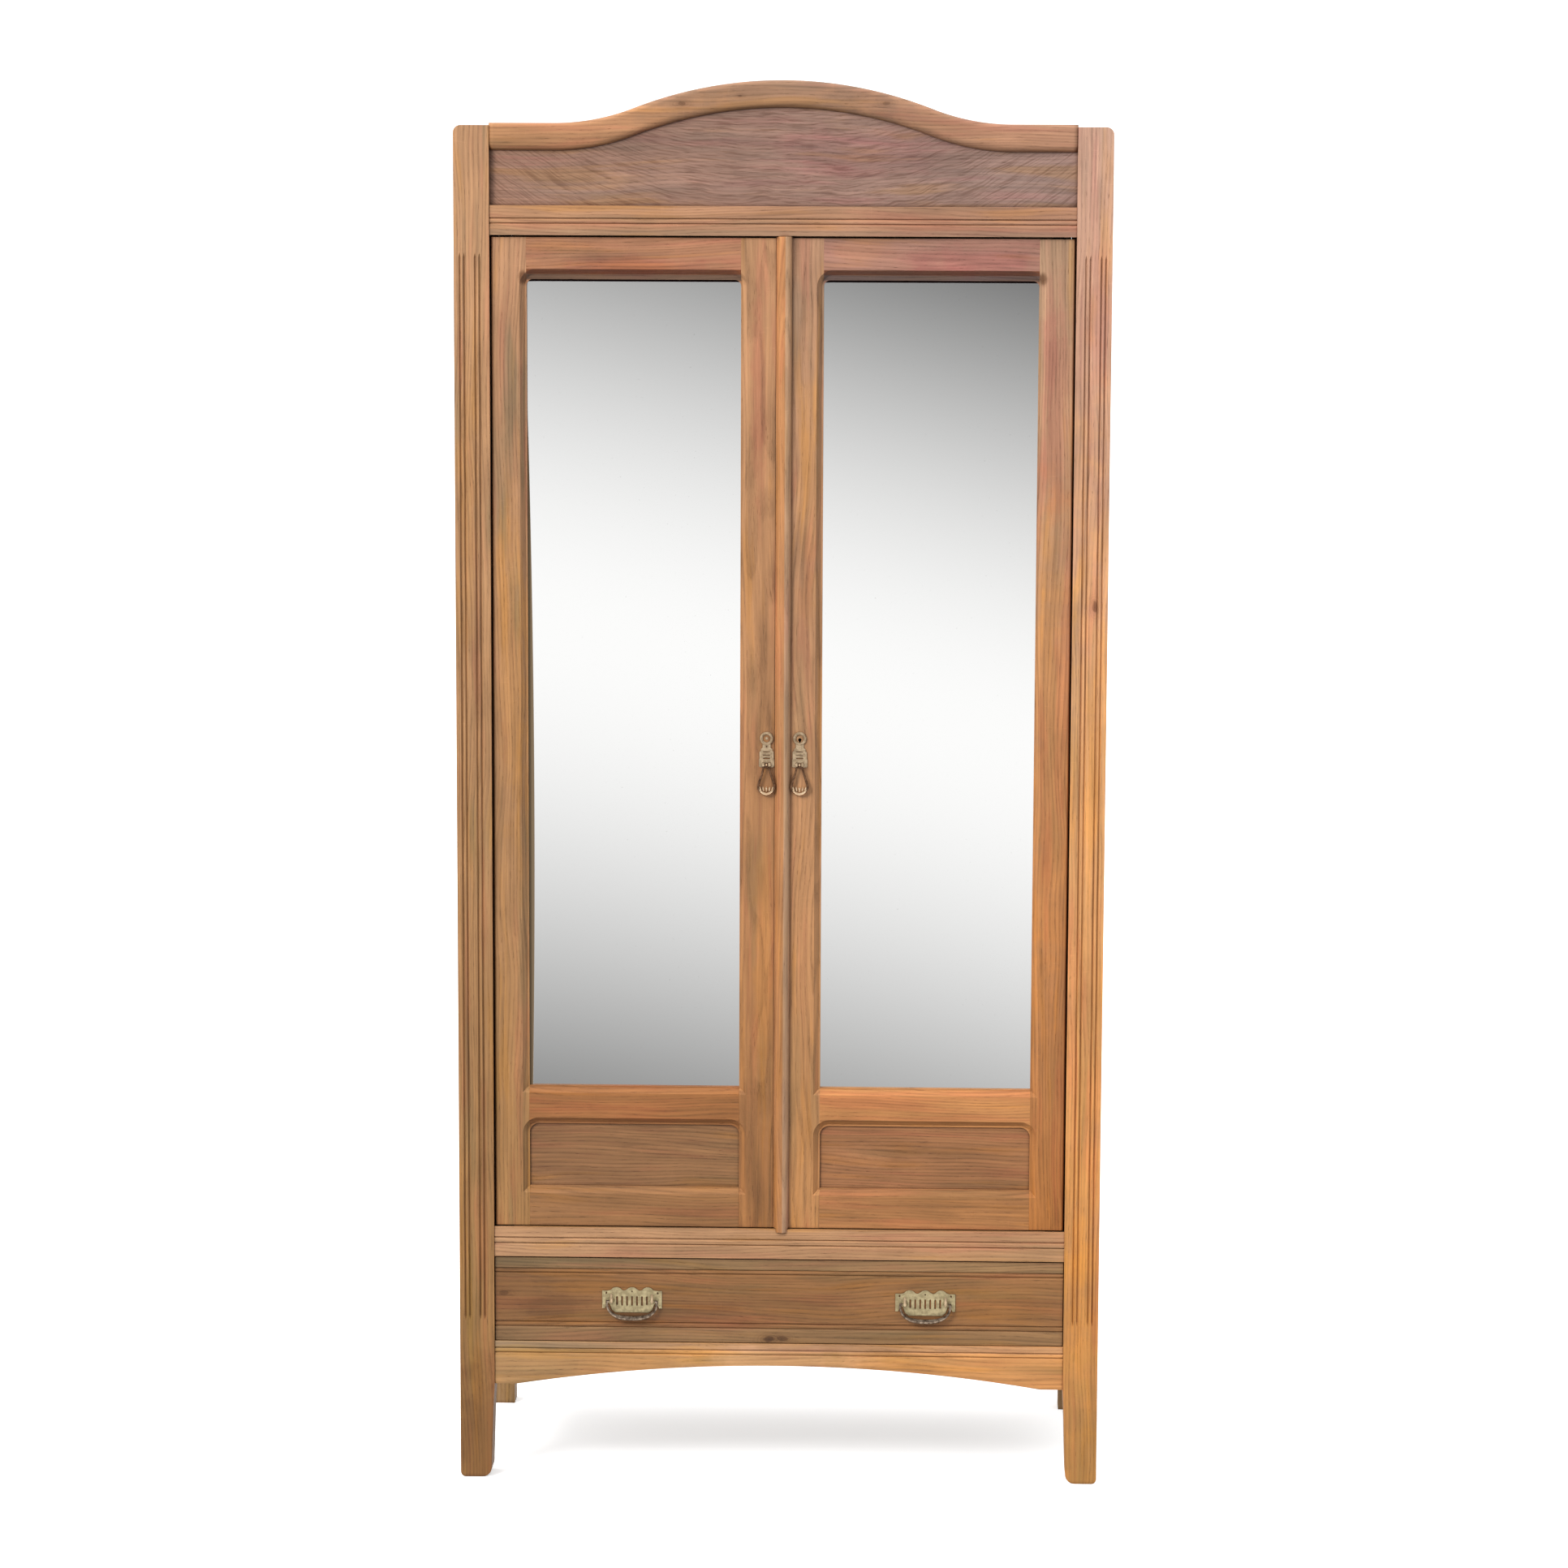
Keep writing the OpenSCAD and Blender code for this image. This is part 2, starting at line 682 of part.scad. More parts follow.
module door_pivots(s)
    color(iron) place() on_side(s) {
        door_pivot_plates();
        pivot_hole(mid_z1 - pivot_pin_l + door_gap, door_z0 + 1, pivot_r);
        pivot_hole(door_z1 - 1, upper_z0 + pivot_pin_l - door_gap, pivot_r);
    }

// ---------- Doors ----------

// Distance from the centre line to a door's meeting edge
function meeting_edge(s) = s * meeting_x + door_gap / 2;

// An opening with two round upper corners
module opening(x0, x1, z0, z1, r)
    union() {
        translate([x0, z0]) square([x1 - x0, z1 - r - z0]);
        translate([x0 + r, z0]) square([x1 - x0 - 2 * r, z1 - z0]);
        for (x = [x0 + r, x1 - r]) translate([x, z1 - r]) circle(r, $fn = 32);
    }

// Radius of an opening's upper corners at its inner edge
function sight_radius(lip_top) = max(corner_r - bevel_w - lip_top, 4);

// An opening cut through a door's front, with its sloping moulding and flat lip
module moulded_opening(z0, z1, lip_top) {
    face = door_recess;
    lip_r = corner_r - bevel_w;
    sight_r = sight_radius(lip_top);
    slab(face - 1, rebate_y + 1) opening(sight_x0, sight_x1, z0, z1, sight_r);
    hull() {
        slab(face - 0.01, face)
            opening(sight_x0 - lip_w - bevel_w, sight_x1 + lip_w + bevel_w,
                    z0 - lip_w - bevel_w, z1 + lip_top + bevel_w, corner_r);
        slab(face + bevel_d - 0.01, face + bevel_d)
            opening(sight_x0 - lip_w, sight_x1 + lip_w, z0 - lip_w, z1 + lip_top, lip_r);
    }
}

module mirror_seat(grow, y0, y1)
    box([sight_x0 - grow, y0, mirror_z0 - grow], [sight_x1 + grow, y1, mirror_z1 + grow]);

module panel_seat(play = 0)
    box([sight_x0 - groove_in - play, panel_y - play, panel_z0 - groove_in - play],
        [sight_x1 + groove_in + play, panel_y + panel_t + play, panel_z1 + groove_in + play]);

// A whole door before it is parted into its stiles and rails
module door_blank(s)
    difference() {
        linear_extrude(door_z1 - door_z0) polygon(concat(
            [[meeting_edge(s), door_recess], [meeting_edge(s), door_y1], [door_edge, door_y1]],
            arc(door_edge - arris_r, door_recess + arris_r, arris_r, 0, -90, 6)));
        translate([0, 0, -door_z0]) {
            moulded_opening(mirror_z0, mirror_z1, top_lip_w);
            moulded_opening(panel_z0, panel_z1, lip_w);
            slab(panel_y + panel_t, door_y1 + 1)
                translate([sight_x0, panel_z0]) square([sight_x1 - sight_x0, panel_h]);
            mirror_seat(rebate_in, rebate_y, door_y1 + 1);
            panel_seat(panel_play);
            door_pivot_plates(let_in_play);
            if (s > 0) keyhole_bore();
        }
    }

// The part of a door between two distances from the centre line and two heights
module door_part(s, x0, x1, z0, z1)
    intersection() {
        translate([0, 0, door_z0]) door_blank(s);
        box([x0, door_recess - 1, z0], [x1, door_y1 + 1, z1]);
    }

DOOR_RAILS = [[door_z0, panel_z0], [panel_z1, mirror_z0], [mirror_z1, door_z1]];

door_tenon_l = 26;
door_tenon_t = 6;
door_tenon_in = 9;
door_tenon_shoulder = 18;
door_tenon_y = door_recess + door_tenon_in;

// The tenons of a door's three rails, in both stiles
module door_tenons(rails, play = 0)
    for (rail = rails)
        box([sight_x0 - door_tenon_l - play, door_tenon_y - play, rail[0] + door_tenon_shoulder - play],
            [sight_x1 + door_tenon_l + play, door_tenon_y + door_tenon_t + play,
             rail[1] - door_tenon_shoulder + play]);

module hinge_stile(s)
    color(oak) place() on_side(s) difference() {
        door_part(s, sight_x1, door_edge, door_z0, door_z1);
        door_tenons(DOOR_RAILS, fit_play);
    }

module meeting_stile(s)
    color(oak) place() on_side(s) difference() {
        door_part(s, meeting_edge(s), sight_x0, door_z0, door_z1);
        door_tenons(DOOR_RAILS, fit_play);
    }

// One door rail; cut gives the heights that part it from its neighbours
module door_rail(s, i, cut)
    color(oak) place() on_side(s) {
        door_part(s, sight_x0, sight_x1, cut[0], cut[1]);
        difference() {
            door_tenons([DOOR_RAILS[i]]);
            box([sight_x0, 0, 0], [sight_x1, body_d, post_h]);
        }
    }

module door_top_rail(s) door_rail(s, 2, [mirror_z1 - sight_radius(top_lip_w), door_z1]);
module door_lock_rail(s) door_rail(s, 1, [panel_z1 - sight_radius(lip_w), mirror_z0]);
module door_bottom_rail(s) door_rail(s, 0, [door_z0, panel_z0]);

module door_mirror(s)
    color(silver) place() on_side(s) mirror_seat(seat_in, rebate_y, rebate_y + mirror_t);

module door_backboard(s)
    color(inner_oak) place() on_side(s)
        mirror_seat(seat_in, rebate_y + mirror_t, rebate_y + mirror_t + backboard_t);

module door_panel(s) color(panel_oak) place() on_side(s) panel_seat();

// The meeting strip: a rounded bar on the right door's edge, with a thin lip over the gap
module meeting_strip() {
    x0 = meeting_edge(1);
    strip_l = door_z1 - door_z0 + strip_hang + strip_rise;
    steps = 12;
    color(oak) place() difference() {
        translate([0, 0, door_z0 - strip_hang]) linear_extrude(strip_l) {
            polygon([for (i = [0:steps]) let (a = 180 + 180 * i / steps)
                [x0 + strip_w / 2 * (1 + cos(a)), door_recess + strip_out * sin(a)]]);
            translate([x0 - strip_lip_w, door_recess - strip_lip_t])
                square([strip_lip_w + strip_lip_t, strip_lip_t]);
        }
        box([x0 - strip_lip_w - overrun, rail_recess - bolt_play, 0],
            [x0 + strip_w + overrun, body_d, door_z0]);
    }
}

// ---------- Lock and bolts ----------

keyhole_r = 2.6;
keyway_w = 2.4;
keyway_h = 9;

// The keyhole through the right door's meeting stile and into the lock
module keyhole_bore() {
    depth = door_y1 + lock_t - staple_wall;
    translate([pull_xs[1], 0, keyhole_z]) rotate([-90, 0, 0]) cylinder(h = depth, r = keyhole_r);
    box([pull_xs[1] - keyway_w / 2, 0, keyhole_z - keyway_h],
        [pull_xs[1] + keyway_w / 2, depth, keyhole_z]);
}

// Room for the lock's bolt, open at the case's edge
module lock_bolt_blank(play = 0)
    box([meeting_edge(1) + 2 * lock_edge, door_y1 + lock_bolt_in - play,
         keyhole_z - lock_bolt_h / 2 - play],
        [meeting_edge(1) + 2 * lock_edge + lock_bolt_l + play, door_y1 + lock_bolt_in + lock_bolt_t + play,
         keyhole_z + lock_bolt_h / 2 + play]);

module lock_case()
    color(iron) place() difference() {
        box([meeting_edge(1) + lock_edge, door_y1, keyhole_z - lock_h / 2],
            [meeting_edge(1) + lock_edge + lock_w, door_y1 + lock_t, keyhole_z + lock_h / 2]);
        lock_bolt_blank(bolt_play);
        translate([-2 * overrun, 0, 0]) lock_bolt_blank(bolt_play);
        keyhole_bore();
    }

module lock_bolt() color(brass) place() lock_bolt_blank();

// The staple on the left door that the lock's bolt enters
module lock_staple()
    color(iron) place() {
        x1 = -meeting_edge(-1) - staple_edge;
        half_room = lock_bolt_h / 2 + staple_edge;
        difference() {
            box([x1 - staple_w, door_y1, keyhole_z - staple_h / 2],
                [x1, door_y1 + lock_t, keyhole_z + staple_h / 2]);
            box([x1 - staple_w + staple_wall, door_y1 + lock_bolt_in - staple_face, keyhole_z - half_room],
                [x1 + overrun, door_y1 + lock_t - staple_face, keyhole_z + half_room]);
        }
    }

// A shoot bolt bar; dir is 1 for the one that goes up
module bolt_bar(dir)
    color(iron) place() {
        end = dir > 0 ? upper_z0 - stop_h - bolt_rest : mid_z1 + stop_h + bolt_rest;
        tail = end - dir * bolt_l;
        box([bolt_x - bolt_w / 2, bolt_y, min(end, tail)],
            [bolt_x + bolt_w / 2, bolt_y + bolt_t, max(end, tail)]);
        translate([bolt_x, bolt_y + bolt_t, tail + dir * bolt_knob_in]) rotate([-90, 0, 0])
            cylinder(h = bolt_knob_l, r = bolt_knob_r);
    }

// The guides that hold the bolts on the back of the left door
module bolt_guides()
    color(iron) place() {
        ends = [upper_z0 - stop_h - bolt_rest, mid_z1 + stop_h + bolt_rest];
        half = bolt_w / 2;
        for (i = [0, 1], step = GUIDE_STEPS) {
            z = ends[i] + (i == 0 ? -step : step - guide_h);
            difference() {
                box([bolt_x - half - guide_flange, door_y1, z],
                    [bolt_x + half + guide_flange, bolt_y + bolt_t + guide_wall, z + guide_h]);
                box([bolt_x - half - bolt_play, bolt_y - bolt_play, z - overrun],
                    [bolt_x + half + bolt_play, bolt_y + bolt_t + bolt_play, z + guide_h + overrun]);
            }
        }
    }

// ---------- Door pulls ----------

// A door pull's plate: a round head over a wider foot, with a knuckle on each side of the drop
module pull_plate(x, through)
    color(brass) place() translate([x, 0, 0]) difference() {
        union() {
            slab(door_recess - plate_t, door_recess) union() {
                translate([-plate_w / 2, drop_z - plate_foot_drop]) square([plate_w, plate_foot_h]);
                translate([-plate_w / 2 + plate_waist_in, drop_z])
                    square([plate_w - 2 * plate_waist_in, keyhole_rise]);
                translate([0, keyhole_z + plate_head_rise]) circle(plate_head_r);
            }
            for (s = [-1, 1]) on_side(s)
                translate([drop_pin_l / 2 - knuckle_l, drop_y, drop_z]) rotate([0, 90, 0])
                    cylinder(h = knuckle_l, r = knuckle_r);
            for (s = [-1, 1]) on_side(s)
                box([drop_pin_l / 2 - knuckle_l, drop_y, drop_z - knuckle_r / 2],
                    [drop_pin_l / 2, door_recess - plate_t, drop_z + knuckle_r / 2]);
        }
        if (through) translate([-x, 0, 0]) keyhole_bore();
        translate([-drop_pin_l, drop_y, drop_z]) rotate([0, 90, 0])
            cylinder(h = 2 * drop_pin_l, r = drop_pin_r + pin_play);
    }

// A drop pull's outline: a narrow neck over a round foot that ends in a low point
module drop_outline()
    hull() {
        translate([0, -drop_neck_r / 2]) circle(drop_neck_r, $fn = 24);
        translate([0, drop_w / 2 + drop_tip_r / 2 - drop_h]) circle(drop_w / 2, $fn = 32);
        translate([0, drop_tip_r - drop_h]) circle(drop_tip_r, $fn = 16);
    }

// The opening through a drop pull
module drop_hole()
    hull() {
        translate([0, -drop_hole_top]) circle(drop_neck_r / 2, $fn = 16);
        translate([0, drop_w / 2 + drop_rim - drop_h]) circle(drop_w / 2 - drop_rim, $fn = 32);
    }

// A drop pull: an open loop that hangs from its own pin
module drop_pull(x)
    color(brass) place() translate([x, drop_y, drop_z]) {
        difference() {
            union() {
                slab(-drop_t / 2, drop_t / 2) drop_outline();
                translate([-drop_eye_l / 2, 0, 0]) rotate([0, 90, 0])
                    cylinder(h = drop_eye_l, r = drop_eye_r);
            }
            slab(-drop_t, drop_t) drop_hole();
            for (s = [-1, 1]) on_side(s)
                box([drop_eye_l / 2, -drop_t, -drop_neck_r + edge_play], [drop_w, drop_t, 2 * knuckle_r]);
            box([-drop_w, -drop_t, knuckle_r], [drop_w, drop_t, 2 * drop_neck_r]);
        }
        translate([-drop_pin_l / 2, 0, 0]) rotate([0, 90, 0]) cylinder(h = drop_pin_l, r = drop_pin_r);
    }

// ---------- Drawer ----------

module drawer_front()
    color(oak) place() difference() {
        box([-drawer_x, drawer_recess, drawer_z0], [drawer_x, drawer_y1, drawer_z1]);
        for (z = DRAWER_TOP_GROOVES) cross_groove(drawer_recess, drawer_z1 - z);
        for (z = DRAWER_LOW_GROOVES) cross_groove(drawer_recess, drawer_z0 + z);
        drawer_bottom_blank(panel_play);
    }

module drawer_sides()
    color(inner_oak) place() difference() {
        for (s = [-1, 1]) on_side(s)
            box([drawer_x - drawer_side_t, drawer_y1, drawer_z0],
                [drawer_x, drawer_back_y, drawer_side_z1]);
        drawer_bottom_blank(panel_play);
    }

module drawer_back()
    color(inner_oak) place()
        box([-drawer_x + drawer_side_t, drawer_back_y - drawer_side_t,
             drawer_floor_z + drawer_bottom_t + edge_play],
            [drawer_x - drawer_side_t, drawer_back_y, drawer_side_z1 - drawer_back_drop]);

module drawer_bottom_blank(play = 0)
    box([-drawer_x + drawer_side_t - groove_in - play, drawer_y1 - groove_in - play, drawer_floor_z - play],
        [drawer_x - drawer_side_t + groove_in + play, drawer_back_y - shelf_gap + play,
         drawer_floor_z + drawer_bottom_t + play]);

module drawer_bottom() color(inner_oak) place() drawer_bottom_blank();

// A drawer pull's plate: two ears, three lobes on top and a narrower foot
module bail_plate_outline() {
    half = bail_plate_w / 2;
    foot = 0.55 * half;
    waist = 0.78 * half;
    translate([0, bail_z - bail_plate_drop]) {
        polygon([[-foot, 0], [foot, 0], [waist, bail_waist_z], [half, bail_ear_z],
                 [half, bail_plate_h], [-half, bail_plate_h], [-half, bail_ear_z], [-waist, bail_waist_z]]);
        for (x = [-bail_lobe_x, 0, bail_lobe_x])
            translate([x, bail_plate_h - bail_lobe_drop]) circle(bail_lobe_r);
    }
}

module drawer_pull_plates()
    color(brass) place() for (s = [-1, 1]) translate([s * drawer_pull_x, 0, 0]) {
        slab(drawer_recess - plate_t, drawer_recess) bail_plate_outline();
        for (t = [-1, 1]) translate([t * (bail_w / 2 - stud_in), 0, bail_z]) difference() {
            translate([0, drawer_recess - plate_t, 0]) rotate([90, 0, 0])
                cylinder(h = drawer_recess - plate_t - bail_y + stud_r, r = stud_r);
            translate([-stud_r - overrun, bail_y, 0]) rotate([0, 90, 0])
                cylinder(h = 2 * (stud_r + overrun), r = bail_pin_r + pin_play);
        }
    }

// A bail: a bar with two round corners, hung from pins that turn in the studs
module bail(s)
    color(brass) place() translate([s * drawer_pull_x, bail_y, bail_z]) {
        r = bail_h * bail_corner;
        half = bail_w / 2;
        for (t = [-1, 1]) on_side(t) {
            translate([half - stud_in - stud_r, 0, 0]) rotate([0, 90, 0])
                cylinder(h = stud_in + stud_r + bail_r, r = bail_pin_r);
            translate([half, 0, r - bail_h]) cylinder(h = bail_h - r + bail_r, r = bail_r);
            translate([half - r, 0, r - bail_h]) rotate([90, 90, 0])
                rotate_extrude(angle = 90) translate([r, 0]) circle(bail_r, $fn = 24);
        }
        translate([-half + r, 0, -bail_h]) rotate([0, 90, 0]) cylinder(h = 2 * (half - r), r = bail_r);
    }

// ---------- The pieces ----------

front_post(-1);  // left_front_post
front_post(1);  // right_front_post
rear_post(-1);  // left_rear_post
rear_post(1);  // right_rear_post
crest_rail();
frieze_panel();
upper_rail();
mid_rail();
apron_rail();
side_rails(-1);  // left_side_rails
side_rails(1);  // right_side_rails
side_panels(-1);  // left_side_panels
side_panels(1);  // right_side_panels
rear_rails();
back_boards();
top_board();
cabinet_floor();
door_stops();
hat_shelf();
shelf_cleats();
hanging_rail();
rail_sockets();
drawer_runners();
pivot_sockets();
hinge_stile(-1);  // left_door_hinge_stile
meeting_stile(-1);  // left_door_meeting_stile
door_top_rail(-1);  // left_door_top_rail
door_lock_rail(-1);  // left_door_lock_rail
door_bottom_rail(-1);  // left_door_bottom_rail
door_mirror(-1);  // left_door_mirror
door_backboard(-1);  // left_door_backboard
door_panel(-1);  // left_door_panel
door_pivots(-1);  // left_door_pivots
pull_plate(pull_xs[0], false);  // left_pull_plate
lock_staple();
bolt_guides();
bolt_bar(1);  // top_bolt
bolt_bar(-1);  // bottom_bolt
drop_pull(pull_xs[0]);  // left_drop_pull
hinge_stile(1);  // right_door_hinge_stile
meeting_stile(1);  // right_door_meeting_stile
door_top_rail(1);  // right_door_top_rail
door_lock_rail(1);  // right_door_lock_rail
door_bottom_rail(1);  // right_door_bottom_rail
door_mirror(1);  // right_door_mirror
door_backboard(1);  // right_door_backboard
door_panel(1);  // right_door_panel
door_pivots(1);  // right_door_pivots
pull_plate(pull_xs[1], true);  // right_pull_plate
meeting_strip();
lock_case();
lock_bolt();
drop_pull(pull_xs[1]);  // right_drop_pull
drawer_front();
drawer_sides();
drawer_back();
drawer_bottom();
drawer_pull_plates();
bail(-1);  // left_bail
bail(1);  // right_bail
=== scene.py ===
import math
import random

import bmesh
import bpy
from mathutils import Matrix, Vector


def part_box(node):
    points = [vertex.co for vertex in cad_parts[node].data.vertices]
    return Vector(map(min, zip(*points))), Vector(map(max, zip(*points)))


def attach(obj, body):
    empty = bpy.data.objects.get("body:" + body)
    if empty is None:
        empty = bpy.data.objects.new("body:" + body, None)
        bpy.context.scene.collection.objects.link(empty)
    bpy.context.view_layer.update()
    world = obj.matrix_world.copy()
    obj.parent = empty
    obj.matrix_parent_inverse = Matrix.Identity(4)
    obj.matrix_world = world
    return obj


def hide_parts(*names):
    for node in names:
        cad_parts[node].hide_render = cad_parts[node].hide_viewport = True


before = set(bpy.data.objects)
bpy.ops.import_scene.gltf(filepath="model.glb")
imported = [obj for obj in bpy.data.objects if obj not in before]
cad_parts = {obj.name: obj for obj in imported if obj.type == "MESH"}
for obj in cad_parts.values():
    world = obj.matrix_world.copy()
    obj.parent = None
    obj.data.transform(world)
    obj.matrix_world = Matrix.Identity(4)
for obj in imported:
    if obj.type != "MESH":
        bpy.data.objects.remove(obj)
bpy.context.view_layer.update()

MM = 0.001
TURN = 2 * math.pi


# ---------- Places taken from the frame ----------

def box_of(node):
    """A CAD node's lowest corner, highest corner and middle."""
    low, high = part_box(node)
    return low, high, (low + high) / 2


FACE_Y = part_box("left_front_post")[0].y        # the posts' front faces
DOOR_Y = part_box("left_door_lock_rail")[0].y    # the doors' front faces
GLASS_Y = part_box("left_door_mirror")[0].y      # the mirrors' front faces
DRAWER_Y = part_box("drawer_front")[0].y         # the drawer's front face
DRAWER_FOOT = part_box("drawer_front")[0].z
DRAWER_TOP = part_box("drawer_front")[1].z
APRON_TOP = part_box("apron_rail")[1].z
MIRROR_SEAT = 6 * MM                           # how far the glass reaches behind the frame round it
TOP_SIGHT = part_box("left_door_mirror")[1].z - MIRROR_SEAT      # the openings' upper edges
EYE = Vector((0.2012, FACE_Y - 6.58, 1.9695))  # the camera's place


# ---------- Node-tree helpers ----------

def feed(tree, socket, value):
    """Gives a socket a number or a colour, or links it to another node's socket."""
    if isinstance(value, bpy.types.NodeSocket):
        tree.links.new(value, socket)
    else:
        socket.default_value = value


def add(tree, kind, inputs=None, **props):
    """Adds a node; an input is a number, a colour or another node's socket."""
    node = tree.nodes.new(kind)
    for key, value in props.items():
        setattr(node, key, value)
    for key, value in (inputs or {}).items():
        feed(tree, node.inputs[key], value)
    return node


def math_node(tree, operation, *values):
    return add(tree, "ShaderNodeMath", dict(enumerate(values)), operation=operation).outputs[0]


def vector_node(tree, operation, *values):
    node = add(tree, "ShaderNodeVectorMath", dict(enumerate(values)), operation=operation)
    return node.outputs["Value" if operation in ("LENGTH", "DOT_PRODUCT") else "Vector"]


def mix_colour(tree, factor, a, b, blend="MIX"):
    return add(tree, "ShaderNodeMix", {0: factor, 6: a, 7: b}, data_type="RGBA", blend_type=blend,
               clamp_factor=True).outputs[2]


def ramp(tree, factor, low, high, out_low=0.0, out_high=1.0, smooth=True):
    """Maps a value from low..high to out_low..out_high."""
    return add(tree, "ShaderNodeMapRange",
               {"Value": factor, "From Min": low, "From Max": high,
                "To Min": out_low, "To Max": out_high},
               interpolation_type="SMOOTHSTEP" if smooth else "LINEAR").outputs[0]


def noise(tree, place, scale, detail=2.0, roughness=0.5, output="Fac"):
    """Noise over a place scaled by three numbers, in cycles a metre."""
    scaled = vector_node(tree, "MULTIPLY", place, scale)
    return add(tree, "ShaderNodeTexNoise", {"Vector": scaled, "Scale": 1.0, "Detail": detail,
                                            "Roughness": roughness}).outputs[output]


def linear(colour):
    """An sRGB colour in 0..255 as a linear RGBA colour."""
    shares = [c / 255 for c in colour]
    return (*[c / 12.92 if c <= 0.04045 else ((c + 0.055) / 1.055) ** 2.4 for c in shares], 1.0)


def new_material(name):
    material = bpy.data.materials.new(name)
    material.use_nodes = True
    material.node_tree.nodes.clear()
    return material, material.node_tree


def finish_material(tree, shader):
    add(tree, "ShaderNodeOutputMaterial", {"Surface": shader.outputs[0]})


# ---------- Oak ----------

def shifted(tree, place, offset):
    return vector_node(tree, "ADD", place, offset)


def tone(tree, colour, factor, multiplier):
    """Multiplies a colour by another where a factor is 1."""
    return mix_colour(tree, factor, colour, mix_colour(tree, 1.0, colour, (*multiplier, 1.0), "MULTIPLY"))


def times(tree, *values):
    """The product of some numbers."""
    product = values[0]
    for value in values[1:]:
        product = math_node(tree, "MULTIPLY", product, value)
    return product


DRIFT = (0.045, 0.045, 0.0)      # how far the grain wanders, in metres
PITH = (0.07, 0.05)              # the pith's distance from a board's own place, in metres
RING_COUNT = 190.0               # growth rings in a metre
RING_SPREAD = 2.2                # how unevenly wide the rings are, in rings
# Multipliers of the oak's own colour
ROSY = (1.02, 0.86, 0.92)
GOLDEN = (1.10, 1.02, 0.74)
STAINED = (0.70, 0.82, 0.86)
PORE = (0.34, 0.27, 0.22)
WORN_EDGE = (1.35, 1.28, 1.2)
# The corner colour below is dark wax together with painted shade in hollows
WAX_AND_SHADE = (0.36, 0.28, 0.22)
RIPPLE_DARK = (0.62, 0.55, 0.52)
RIPPLE_PALE = (1.28, 1.26, 1.24)
KNOT_RING = (0.42, 0.32, 0.26)
KNOT_HEART = (0.26, 0.18, 0.13)
EDGE_WIDTH = 2.2 * MM            # how far wear reaches from an edge
CORNER_REACH = 7 * MM            # how far dark wax and painted shade reach from a corner
